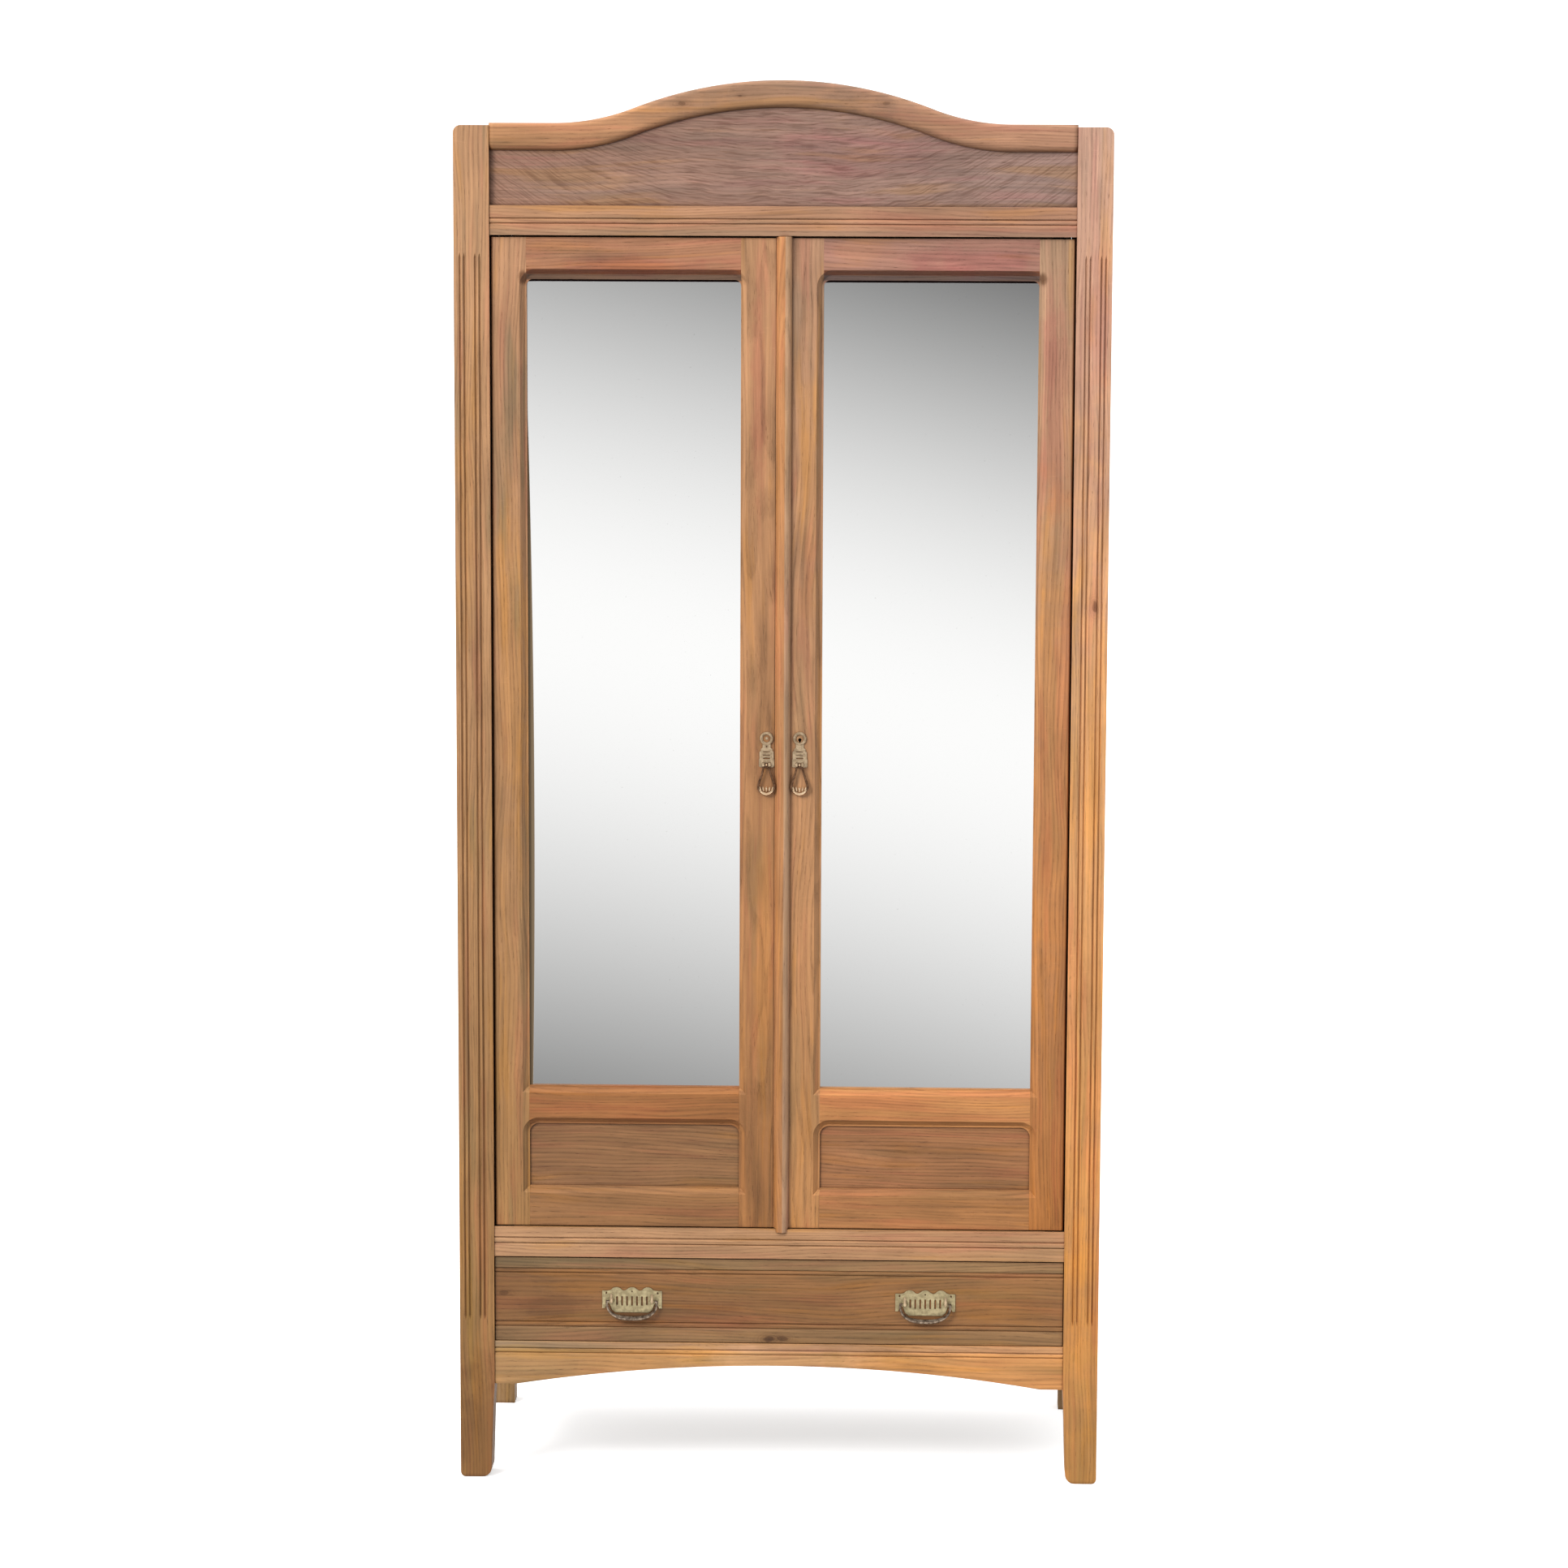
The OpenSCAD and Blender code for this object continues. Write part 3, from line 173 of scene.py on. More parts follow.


def oak_group():
    """One board's colour, roughness and height from its place along and across the grain."""
    tree = bpy.data.node_groups.new("oak_board", "ShaderNodeTree")
    for name, way, kind in (("Place", "INPUT", "Vector"), ("Tint", "INPUT", "Color"),
                            ("Figure", "INPUT", "Float"), ("Stain", "INPUT", "Float"),
                            ("Colour", "OUTPUT", "Color"), ("Roughness", "OUTPUT", "Float"),
                            ("Height", "OUTPUT", "Float")):
        tree.interface.new_socket(name, in_out=way, socket_type="NodeSocket" + kind)
    given = add(tree, "NodeGroupInput").outputs
    place = given["Place"]
    figure = given["Figure"]

    # The grain wanders slowly along the board
    drift = noise(tree, place, (9.0, 9.0, 2.2), 2.0, 0.45, "Color")
    drift = vector_node(tree, "SUBTRACT", drift, (0.5, 0.5, 0.5))
    grain = shifted(tree, place, vector_node(tree, "MULTIPLY", drift, DRIFT))

    # Growth rings about a pith that lies off the board
    parts = add(tree, "ShaderNodeSeparateXYZ", {"Vector": grain}).outputs
    radius = vector_node(tree, "LENGTH", add(tree, "ShaderNodeCombineXYZ", {
        "X": math_node(tree, "ADD", parts[0], PITH[0]),
        "Y": math_node(tree, "ADD", parts[1], PITH[1])}).outputs[0])
    spread = times(tree, noise(tree, grain, (35.0, 35.0, 3.0), 1.0), RING_SPREAD)
    ring = math_node(tree, "FRACT", math_node(tree, "MULTIPLY_ADD", radius, RING_COUNT, spread))
    early = math_node(tree, "MULTIPLY", ramp(tree, ring, 0.0, 0.12), ramp(tree, ring, 0.62, 0.2))

    # Streaks of three widths, pores and the bright flecks of quartered wood
    band = noise(tree, shifted(tree, grain, (2.3, 5.1, 0.7)), (95.0, 95.0, 3.0), 2.0, 0.55)
    streak = noise(tree, grain, (330.0, 330.0, 7.0), 3.0, 0.6)
    fibre = noise(tree, grain, (1100.0, 1100.0, 24.0), 2.0, 0.6)
    pore = ramp(tree, noise(tree, grain, (1500.0, 1500.0, 60.0), 1.0), 0.62, 0.72)
    pore = math_node(tree, "MULTIPLY", pore, math_node(tree, "MULTIPLY_ADD", early, 0.75, 0.25))
    fleck = ramp(tree, noise(tree, grain, (70.0, 70.0, 420.0), 2.0, 0.6), 0.64, 0.74)

    # Slow changes of tone and hue: brown clouds, rosy and golden stretches, greenish-grey stains
    cloud = noise(tree, grain, (12.0, 12.0, 3.2), 3.0, 0.55)
    blotch = noise(tree, shifted(tree, place, (3.1, 1.7, 5.3)), (26.0, 26.0, 9.0), 3.0, 0.6)
    stain = noise(tree, shifted(tree, place, (7.7, 4.1, 2.9)), (42.0, 42.0, 3.4), 2.0)
    hue = noise(tree, shifted(tree, grain, (9.2, 3.3, 1.9)), (46.0, 46.0, 3.6), 3.0, 0.55)

    shade = 1.0
    for wave, amount in ((cloud, 0.10), (blotch, 0.10), (band, 0.13)):
        centred = ramp(tree, wave, 0.3, 0.7, -1.0, 1.0, False)
        shade = math_node(tree, "MULTIPLY_ADD", centred, amount, shade)
    for wave, amount in ((streak, times(tree, figure, 0.62)), (fibre, 0.2)):
        shade = math_node(tree, "MULTIPLY_ADD", math_node(tree, "SUBTRACT", wave, 0.5), amount, shade)
    shade = math_node(tree, "SUBTRACT", shade, times(tree, early, figure, 0.17))
    shade = math_node(tree, "MULTIPLY_ADD", fleck, 0.08, shade)

    grey = add(tree, "ShaderNodeCombineColor", {0: shade, 1: shade, 2: shade}).outputs[0]
    colour = mix_colour(tree, 1.0, given["Tint"], grey, "MULTIPLY")
    for mask, amount, multiplier in ((ramp(tree, hue, 0.48, 0.32), 0.75, ROSY),
                                     (ramp(tree, hue, 0.52, 0.68), 0.8, GOLDEN),
                                     (ramp(tree, stain, 0.54, 0.70), given["Stain"], STAINED),
                                     (pore, 0.62, PORE)):
        colour = tone(tree, colour, times(tree, mask, amount), multiplier)

    rough = math_node(tree, "MULTIPLY_ADD", blotch, 0.16, 0.46)
    rough = math_node(tree, "MULTIPLY_ADD", fleck, -0.1, rough)
    height = math_node(tree, "MULTIPLY_ADD", streak, 0.35, times(tree, pore, -0.8))
    height = math_node(tree, "MULTIPLY_ADD", fibre, 0.25, height)
    add(tree, "NodeGroupOutput", {"Colour": colour, "Roughness": rough, "Height": height})
    return tree


OAK = oak_group()
GRAIN_ORDER = {"x": ("Z", "Y", "X"), "y": ("X", "Z", "Y"), "z": ("X", "Y", "Z")}
EXPOSURE = 0.90        # share of a surface's colour that its own material gives; the light adds the rest
GLOSS = 0.028          # light that a waxed face adds to its own colour
DARKEST = 0.006        # the least base colour


def oak_material(name, grain, low_end, high_end, span, figure=1.0, stain=0.5, knots=(), patches=(),
                 wear=1.0, bands=(), ripples=0.0):
    """Waxed oak whose tone runs from one colour to another between two places along the grain."""
    material, tree = new_material(name)
    seed = random.Random(name)
    place = add(tree, "ShaderNodeTexCoord").outputs["Object"]
    axes = add(tree, "ShaderNodeSeparateXYZ", {"Vector": place}).outputs
    order = GRAIN_ORDER[grain]
    turned = add(tree, "ShaderNodeCombineXYZ", {i: axes[a] for i, a in enumerate(order)}).outputs[0]
    shift = [seed.uniform(-0.05, 0.05), seed.uniform(-0.03, 0.06), seed.uniform(-9.0, 9.0)]
    along = ramp(tree, axes[order[2]], span[0], span[1], smooth=False)
    tint = mix_colour(tree, along, albedo(low_end), albedo(high_end))
    board = add(tree, "ShaderNodeGroup", {"Place": shifted(tree, turned, shift), "Tint": tint,
                                          "Figure": figure, "Stain": stain}, node_tree=OAK)
    colour = board.outputs["Colour"]
    for centre, half_size, multiplier, strength in patches:
        colour = patch(tree, place, colour, centre, half_size, multiplier, strength)
    for axis, start, end, multiplier in bands:
        colour = banded(tree, axes[axis], colour, start, end, multiplier)
    for centre, size, strength in knots:
        colour = knot(tree, place, colour, centre, size, strength, order)
    if ripples:
        colour = rippled(tree, place, axes, colour, ripples)

    # Light worn edges, and dark wax with painted shade in the corners, the shade weaker on faces turned up
    soft = add(tree, "ShaderNodeBevel", {"Radius": EDGE_WIDTH}, samples=6).outputs[0]
    true = add(tree, "ShaderNodeNewGeometry").outputs["True Normal"]
    edge = ramp(tree, vector_node(tree, "DOT_PRODUCT", soft, true), 0.995, 0.82)
    broken = ramp(tree, noise(tree, place, (60.0, 60.0, 60.0), 3.0), 0.3, 0.62)
    colour = tone(tree, colour, times(tree, edge, broken, 0.35 * wear), WORN_EDGE)
    closed = add(tree, "ShaderNodeAmbientOcclusion", {"Distance": CORNER_REACH}, samples=6).outputs["AO"]
    upward = add(tree, "ShaderNodeSeparateXYZ", {"Vector": true}).outputs[2]
    corner = times(tree, ramp(tree, closed, 0.93, 0.42), ramp(tree, upward, 0.1, 0.6, 1.0, 0.1), 0.85)
    colour = tone(tree, colour, corner, WAX_AND_SHADE)

    bump = add(tree, "ShaderNodeBump", {"Strength": 0.45, "Distance": 0.5 * MM,
                                        "Height": board.outputs["Height"]}).outputs[0]
    shader = add(tree, "ShaderNodeBsdfPrincipled",
                 {"Base Color": colour, "Roughness": board.outputs["Roughness"],
                  "Specular IOR Level": 0.3, "Normal": bump})
    finish_material(tree, shader)
    return material


def albedo(colour):
    """The base colour that a face needs to look like an sRGB colour under the studio light."""
    return (*[max(c - GLOSS, DARKEST) * EXPOSURE for c in linear(colour)[:3]], 1.0)


def patch(tree, place, colour, centre, half_size, multiplier, strength):
    """Changes a board's tone over a soft, ragged patch."""
    offset = vector_node(tree, "SUBTRACT", place, centre)
    offset = vector_node(tree, "MULTIPLY", offset, (1000 / half_size[0], 0.0, 1000 / half_size[1]))
    ragged = math_node(tree, "SUBTRACT", noise(tree, place, (22.0, 22.0, 22.0), 4.0, 0.6), 0.5)
    far = math_node(tree, "MULTIPLY_ADD", ragged, 1.6, vector_node(tree, "LENGTH", offset))
    return tone(tree, colour, times(tree, ramp(tree, far, 1.15, 0.35), strength), multiplier)


def banded(tree, axis, colour, start, end, multiplier):
    """Changes a board's tone between two places along an axis."""
    soft = 1.2 * MM
    inside = times(tree, ramp(tree, axis, start - soft, start + soft),
                   ramp(tree, axis, end + soft, end - soft))
    return tone(tree, colour, inside, multiplier)


def rippled(tree, place, axes, colour, strength):
    """Fine lines that level out in a board's middle and rise towards its ends."""
    level_half = 0.06
    outer = math_node(tree, "SUBTRACT", math_node(tree, "ABSOLUTE", axes[0]), level_half)
    outer = math_node(tree, "MAXIMUM", outer, 0.0)
    bend = times(tree, outer, outer, -1.0)
    sway = math_node(tree, "MULTIPLY_ADD", noise(tree, place, (14.0, 14.0, 14.0)), 0.018, bend)
    height = math_node(tree, "ADD", axes[2], sway)
    lines = add(tree, "ShaderNodeCombineXYZ", {0: height, 2: axes[0]}).outputs[0]
    line = ramp(tree, noise(tree, lines, (360.0, 0.0, 20.0), 3.0, 0.6), 0.46, 0.64)
    pale = ramp(tree, noise(tree, shifted(tree, lines, (0.4, 0.0, 0.3)), (260.0, 0.0, 22.0)), 0.54, 0.7)
    colour = tone(tree, colour, times(tree, line, strength), RIPPLE_DARK)
    return tone(tree, colour, times(tree, pale, 0.6 * strength), RIPPLE_PALE)


def knot(tree, place, colour, centre, size, strength, order):
    """Darkens a board about a knot, with tails along the grain."""
    offset = vector_node(tree, "SUBTRACT", place, centre)
    stretch = {order[0]: 1.0, order[1]: 0.3, order[2]: 0.5}
    offset = vector_node(tree, "MULTIPLY", offset, [stretch[a] / size for a in ("X", "Y", "Z")])
    wobble = noise(tree, place, (90.0, 90.0, 90.0), 2.0)
    wobble = math_node(tree, "SUBTRACT", wobble, 0.5)
    far = math_node(tree, "MULTIPLY_ADD", wobble, 0.9, vector_node(tree, "LENGTH", offset))
    waves = math_node(tree, "SINE", math_node(tree, "MULTIPLY", far, 14.0))
    waves = math_node(tree, "MULTIPLY_ADD", waves, 0.15, 0.35)
    rings = times(tree, ramp(tree, far, 2.6, 0.6), waves, strength)
    heart = times(tree, ramp(tree, far, 1.0, 0.35), 0.85 * strength)
    return tone(tree, tone(tree, colour, rings, KNOT_RING), heart, KNOT_HEART)


def span_of(node, grain):
    """Where a board starts and ends along its grain."""
    return [corner["xyz".index(grain)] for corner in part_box(node)]


def mm(x, y, z):
    """A point given in millimetres from the floor's middle and the posts' faces."""
    return (x * MM, FACE_Y + y * MM, z * MM)


# Grain direction, colours at the two ends, and how strong the figure and the stains are
BOARDS = {
    "left_front_post": ("z", (155, 117, 77), (184, 142, 108), 1.0, 0.7),
    "right_front_post": ("z", (200, 140, 82), (202, 160, 138), 1.0, 0.4),
    "crest_rail": ("x", (180, 134, 98), (182, 138, 112), 0.9, 0.5),
    "frieze_panel": ("x", (153, 120, 103), (156, 129, 119), 0.7, 0.4),
    "upper_rail": ("x", (177, 135, 103), (174, 131, 107), 0.9, 0.4),
    "mid_rail": ("x", (184, 143, 109), (188, 143, 106), 0.9, 0.4),
    "apron_rail": ("x", (186, 143, 99), (212, 152, 98), 0.9, 0.6),
    "left_door_hinge_stile": ("z", (168, 127, 86), (182, 139, 107), 1.0, 0.9),
    "left_door_meeting_stile": ("z", (170, 121, 80), (181, 138, 104), 1.0, 0.5),
    "left_door_top_rail": ("x", (172, 124, 96), (176, 128, 100), 0.9, 0.4),
    "left_door_lock_rail": ("x", (162, 113, 77), (160, 110, 73), 0.9, 0.4),
    "left_door_bottom_rail": ("x", (157, 116, 83), (157, 115, 80), 0.9, 0.5),
    "left_door_panel": ("x", (145, 108, 80), (148, 111, 81), 1.2, 0.5),
    "right_door_hinge_stile": ("z", (184, 123, 74), (177, 143, 116), 1.0, 0.4),
    "right_door_meeting_stile": ("z", (192, 140, 94), (178, 138, 110), 1.0, 0.5),
    "right_door_top_rail": ("x", (174, 130, 112), (172, 128, 112), 0.9, 0.4),
    "right_door_lock_rail": ("x", (194, 137, 90), (198, 140, 92), 0.9, 0.4),
    "right_door_bottom_rail": ("x", (176, 126, 86), (178, 126, 84), 0.9, 0.5),
    "right_door_panel": ("x", (162, 116, 84), (165, 118, 84), 1.2, 0.5),
    "meeting_strip": ("z", (170, 122, 86), (196, 140, 96), 0.8, 0.3),
    "drawer_front": ("x", (138, 102, 73), (158, 115, 79), 1.1, 0.6),
    "left_side_rails": ("y", (176, 132, 92), (180, 138, 98), 0.9, 0.6),
    "right_side_rails": ("y", (184, 136, 94), (188, 140, 98), 0.9, 0.6),
    "left_side_panels": ("z", (150, 115, 84), (158, 122, 92), 1.2, 0.6),
    "right_side_panels": ("z", (156, 116, 84), (162, 124, 94), 1.2, 0.6),
}
PLAIN_BOARDS = {
    "z": ["left_rear_post", "right_rear_post", "back_boards"],
    "x": ["rear_rails", "top_board", "cabinet_floor", "door_stops", "hat_shelf", "hanging_rail",
          "left_door_backboard", "right_door_backboard", "drawer_back", "drawer_bottom"],
    "y": ["shelf_cleats", "rail_sockets", "drawer_runners", "drawer_sides"],
}
PLAIN_ENDS = ((168, 134, 98), (176, 142, 104))

# Knots: place, size in metres and strength
KNOTS = {
    "right_front_post": [(mm(461, 0, 1328), 0.0055, 0.8)],
    "drawer_front": [(mm(-14, 4, 218), 0.0062, 1.0), (mm(6, 4, 219), 0.0055, 0.8),
                     (mm(-414, 4, 285), 0.006, 0.6)],
    "crest_rail": [(mm(-146, 1, 2057), 0.0045, 0.6), (mm(150, 1, 2058), 0.0045, 0.5),
                   (mm(-62, 1, 2068), 0.0025, 0.6)],
}

# Multipliers for the patches
ROSE = (1.0, 0.82, 0.90)
GOLD = (1.14, 1.06, 0.78)
UMBER = (0.66, 0.60, 0.58)
GREY = (0.80, 0.90, 0.98)
LIGHT = (1.22, 1.17, 0.90)
DUSTY = (0.72, 0.80, 0.92)
SMUDGE = (0.80, 0.78, 0.80)
SUNNY = (1.20, 1.10, 0.86)
BLEACHED = (1.24, 1.26, 1.5)
DARKER_CORNER = (0.42, 0.34, 0.28)

# Patches of another tone: place, half size in millimetres, multiplier and strength
PATCHES = {
    "left_front_post": [(mm(-455, 0, 60), (60, 150), UMBER, 0.9),
                        (mm(-462, 0, 1500), (14, 260), GOLD, 0.5)],
    "right_front_post": [(mm(455, 0, 850), (60, 800), LIGHT, 1.0),
                         (mm(462, 0, 1750), (20, 120), ROSE, 0.6),
                         (mm(455, 0, 50), (60, 150), DUSTY, 1.0)],
    "crest_rail": [(mm(0, 1, 2065), (230, 60), DUSTY, 0.9)],
    "left_door_top_rail": [(mm(-230, 8, 1822), (130, 18), ROSE, 0.9),
                           (mm(-330, 8, 1850), (60, 12), GOLD, 0.5)],
    "left_door_meeting_stile": [(mm(-34, 8, 1660), (12, 170), ROSE, 0.8),
                                (mm(-24, 8, 800), (16, 200), GOLD, 0.6),
                                (mm(-36, 8, 480), (50, 160), SMUDGE, 0.9)],
    "left_door_hinge_stile": [(mm(-400, 8, 1250), (24, 260), GOLD, 0.6),
                              (mm(-384, 8, 700), (8, 300), GREY, 0.6)],
    "right_door_top_rail": [(mm(280, 8, 1830), (110, 26), ROSE, 0.9),
                            (mm(120, 8, 1845), (50, 20), GOLD, 0.4)],
    "right_door_hinge_stile": [(mm(400, 8, 1620), (26, 190), ROSE, 0.8),
                               (mm(400, 8, 1100), (50, 420), SUNNY, 0.9)],
    "right_door_meeting_stile": [(mm(40, 8, 1500), (20, 220), GOLD, 0.5),
                                 (mm(20, 8, 1740), (9, 90), GREY, 0.8)],
    "drawer_front": [(mm(-340, 4, 262), (75, 24), UMBER, 0.7), (mm(-120, 4, 250), (130, 26), ROSE, 0.5),
                     (mm(330, 4, 270), (110, 30), GOLD, 0.5)],
    "apron_rail": [(mm(-380, 2, 175), (110, 40), DUSTY, 0.5),
                   (mm(0, 2, 185), (150, 26), BLEACHED, 0.9)],
    "frieze_panel": [(mm(-300, 11, 1935), (110, 34), GREY, 0.4),
                     (mm(120, 11, 1990), (140, 40), ROSE, 0.6)],
}
# The corners above the mirrors are painted darker
for stile, x in (("left_door_hinge_stile", -379), ("left_door_meeting_stile", -65),
                 ("right_door_meeting_stile", 65), ("right_door_hinge_stile", 379)):
    PATCHES[stile].append((mm(x, 8, TOP_SIGHT / MM + 3), (8, 13), DARKER_CORNER, 1.0))

# Bands of another tone: axis, the two places along it, and the multiplier
BEVEL_FOOT = TOP_SIGHT + 7.5 * MM
# Painted shade: the bevel over each mirror darker and browner, the lip under it darker and greyer
BEVEL = (2, BEVEL_FOOT, TOP_SIGHT + 15 * MM, (0.44, 0.29, 0.18))
LIP_SHADE = (2, TOP_SIGHT - 1 * MM, BEVEL_FOOT, (0.38, 0.46, 0.54))
BANDS = {
    # Painted shade tone: the meeting strip's right half greyer and cooler, as its shaded side
    "meeting_strip": [(0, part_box("meeting_strip")[1].x - 9.6 * MM, 1.0, (1.15, 1.5, 2.2))],
    "left_door_top_rail": [BEVEL, LIP_SHADE],
    "right_door_top_rail": [BEVEL, LIP_SHADE],
    "drawer_front": [(2, DRAWER_TOP - 17 * MM, DRAWER_TOP, (1.06, 1.32, 1.62)),
                     (2, DRAWER_FOOT, DRAWER_FOOT + 22 * MM, (1.04, 1.22, 1.45))],
    "apron_rail": [(2, APRON_TOP - 12 * MM, APRON_TOP, (0.88, 0.97, 1.3))],
    # Painted shade along the upper rail's lower edge, over the door gap
    "upper_rail": [(2, 0.0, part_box("upper_rail")[0].z + 8 * MM, (0.84, 0.93, 1.0))],
}
RIPPLES = {"frieze_panel": 0.8}


def soften(node, width):
    """Rounds a CAD node's edges with modifiers, which leave its own mesh as it is."""
    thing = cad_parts[node]
    weld = thing.modifiers.new("weld", "WELD")
    weld.merge_threshold = 0.01 * MM
    flat = thing.modifiers.new("flat", "DECIMATE")
    flat.decimate_type = "DISSOLVE"
    flat.angle_limit = math.radians(0.3)
    bevel = thing.modifiers.new("bevel", "BEVEL")
    bevel.width = width
    bevel.segments = 2
    bevel.limit_method = "ANGLE"
    bevel.angle_limit = math.radians(25)
    bevel.miter_outer = "MITER_ARC"
    bevel.harden_normals = False
    thing.data.polygons.foreach_set("use_smooth", [False] * len(thing.data.polygons))


def assign(node, material):
    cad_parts[node].material_slots[0].material = material


def paint_boards():
    """Gives each wooden node its own oak."""
    for node, (grain, low_end, high_end, figure, stain) in BOARDS.items():
        assign(node, oak_material("oak_" + node, grain, low_end, high_end, span_of(node, grain), figure,
                                  stain, KNOTS.get(node, ()), PATCHES.get(node, ()),
                                  bands=BANDS.get(node, ()), ripples=RIPPLES.get(node, 0.0)))
    for grain, nodes in PLAIN_BOARDS.items():
        for node in nodes:
            assign(node, oak_material("plain_" + node, grain, *PLAIN_ENDS, span_of(node, grain), wear=0.4))


# ---------- Metals and glass ----------

FILM_SCALE = 180.0         # patches of dull film in a metre
SPECK_SCALE = 1620.0       # specks of dirt in a metre


def metal_material(name, bright, dull, grime, roughness, metallic=1.0, specks=0.45):
    """Old metal: polished high spots, a dull film and dark dirt in the corners."""
    material, tree = new_material(name)
    place = add(tree, "ShaderNodeTexCoord").outputs["Object"]
    film = ramp(tree, noise(tree, place, (FILM_SCALE,) * 3, 4.0, 0.6), 0.35, 0.65)
    speck = ramp(tree, noise(tree, place, (SPECK_SCALE,) * 3, 2.0, 0.6), 0.6, 0.75)
    colour = mix_colour(tree, film, linear(bright), linear(dull))
    colour = mix_colour(tree, times(tree, speck, specks), colour, linear(grime))
    closed = add(tree, "ShaderNodeAmbientOcclusion", {"Distance": 3 * MM}, samples=6).outputs["AO"]
    colour = mix_colour(tree, ramp(tree, closed, 0.75, 0.25, 0.0, 0.85), colour, linear(grime))
    rough = ramp(tree, film, 0.0, 1.0, roughness - 0.08, roughness + 0.14)
    bump = add(tree, "ShaderNodeBump", {"Strength": 0.25, "Distance": 0.3 * MM, "Height": film}).outputs[0]
    shader = add(tree, "ShaderNodeBsdfPrincipled",
                 {"Base Color": colour, "Roughness": rough, "Metallic": metallic, "Normal": bump})
    finish_material(tree, shader)
    return material


def mirror_material(node, reflects_stile):
    """Silvered plate glass with faint smears, a little foxing, and painted reflections of the frame along
    its top and, on one glass, its outer edge.
    """
    silver, foxing = (252, 252, 251), (120, 112, 100)
    # Colours of the painted reflections: the rail's dark underside along the top, the stile along the outer
    # edge
    rail_reflection, stile_reflection = (58, 44, 36), (134, 118, 98)
    top_low, top_high = TOP_SIGHT - 3.9 * MM, TOP_SIGHT - 2.9 * MM
    material, tree = new_material("silvered_glass_" + node)
    place = add(tree, "ShaderNodeTexCoord").outputs["Object"]
    axes = add(tree, "ShaderNodeSeparateXYZ", {"Vector": place}).outputs
    smear = noise(tree, place, (5.0, 5.0, 2.0), 3.0)
    fox = ramp(tree, noise(tree, place, (260.0, 260.0, 260.0), 3.0, 0.65), 0.70, 0.78)
    colour = mix_colour(tree, times(tree, fox, 0.25), linear(silver), linear(foxing))
    rough = ramp(tree, smear, 0.3, 0.7, 0.02, 0.05)
    # Painted reflection of the rail: a dark line along the glass's top, where it isn't metal
    top_reflection = ramp(tree, axes[2], top_low, top_high)
    metal = math_node(tree, "SUBTRACT", 1.0, top_reflection)
    if reflects_stile:
        # A painted reflection of the stile along the outer edge, in a long shallow bow
        side_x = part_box("left_door_hinge_stile")[1].x
        middle_z, half_height, depth = 1.0, 0.62, 8.3 * MM
        bow = math_node(tree, "MULTIPLY_ADD", axes[2], 1 / half_height, -middle_z / half_height)
        bow = math_node(tree, "MULTIPLY_ADD", times(tree, bow, bow), -depth, side_x + depth)
        side = ramp(tree, math_node(tree, "SUBTRACT", axes[0], bow), 0.6 * MM, -0.6 * MM)
        colour = mix_colour(tree, side, colour, albedo(stile_reflection))
        metal = times(tree, math_node(tree, "SUBTRACT", 1.0, side), metal)
    colour = mix_colour(tree, top_reflection, colour, albedo(rail_reflection))
    shader = add(tree, "ShaderNodeBsdfPrincipled",
                 {"Base Color": colour, "Roughness": rough, "Metallic": metal, "Specular IOR Level": 0.0})
    finish_material(tree, shader)
    return material


# ---------- Mesh helpers ----------

ACROSS, DEPTH, UP = Vector((1, 0, 0)), Vector((0, 1, 0)), Vector((0, 0, 1))


def linked(name, data):
    """A new object in the scene."""
    thing = bpy.data.objects.new(name, data)
    bpy.context.scene.collection.objects.link(thing)
    return thing


def mesh_object(name, bm, material, smooth=True):
    mesh = bpy.data.meshes.new(name)
    bm.to_mesh(mesh)
    bm.free()
    mesh.polygons.foreach_set("use_smooth", [smooth] * len(mesh.polygons))
    mesh.materials.append(material)
    return linked(name, mesh)


def piece(name, bm, body, material, replaces=()):
    """Turns a bmesh into a piece that rides on a body."""
    bmesh.ops.recalc_face_normals(bm, faces=bm.faces)
    thing = mesh_object(name, bm, material)
    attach(thing, body)
    if replaces:
        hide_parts(*replaces)


def ring(centre, u, v, sides):
    """Points round an ellipse whose half axes are two vectors."""
    turns = [TURN * j / sides for j in range(sides)]
    return [Vector(centre) + math.cos(a) * u + math.sin(a) * v for a in turns]


def loft(bm, rings, closed_path=False):
    """Joins rings of points, each of the same length, into one closed skin."""
    made = [[bm.verts.new(p) for p in points] for points in rings]
    count = len(made[0])
    last = len(made) if closed_path else len(made) - 1
    for i in range(last):
        a, b = made[i], made[(i + 1) % len(made)]
        for j in range(count):
            k = (j + 1) % count
            bm.faces.new((a[j], a[k], b[k], b[j]))
    if not closed_path:
        bm.faces.new(made[0])
        bm.faces.new(reversed(made[-1]))


def sweep(bm, path, radii, closed=False, sides=12, flat=1.0):
    """A round bar along a path in a plane of constant depth; flat squeezes it front to back."""
    rings = []
    count = len(path)
    for i, point in enumerate(path):
        before = path[i - 1] if closed or i > 0 else path[i]
        after = path[(i + 1) % count] if closed or i < count - 1 else path[i]
        across = (after - before).normalized().cross(DEPTH).normalized()
        rings.append(ring(point, radii[i] * across, radii[i] * flat * DEPTH, sides))
    loft(bm, rings, closed_path=closed)


# ---------- The crest ----------

def crest_height(x, level, rise, reach, share):
    """Height of the crest's curve at x: a middle arc, a reverse arc and a level run."""
    angle = 2 * math.atan(rise / reach)
    big = share * reach / math.sin(angle)
    small = (1 - share) * reach / math.sin(angle)
    x = abs(x)
    if x >= reach:
        return level
    if x >= share * reach:
        return level + small - math.sqrt(small * small - (reach - x) ** 2)
    return level + rise - big + math.sqrt(big * big - x * x)


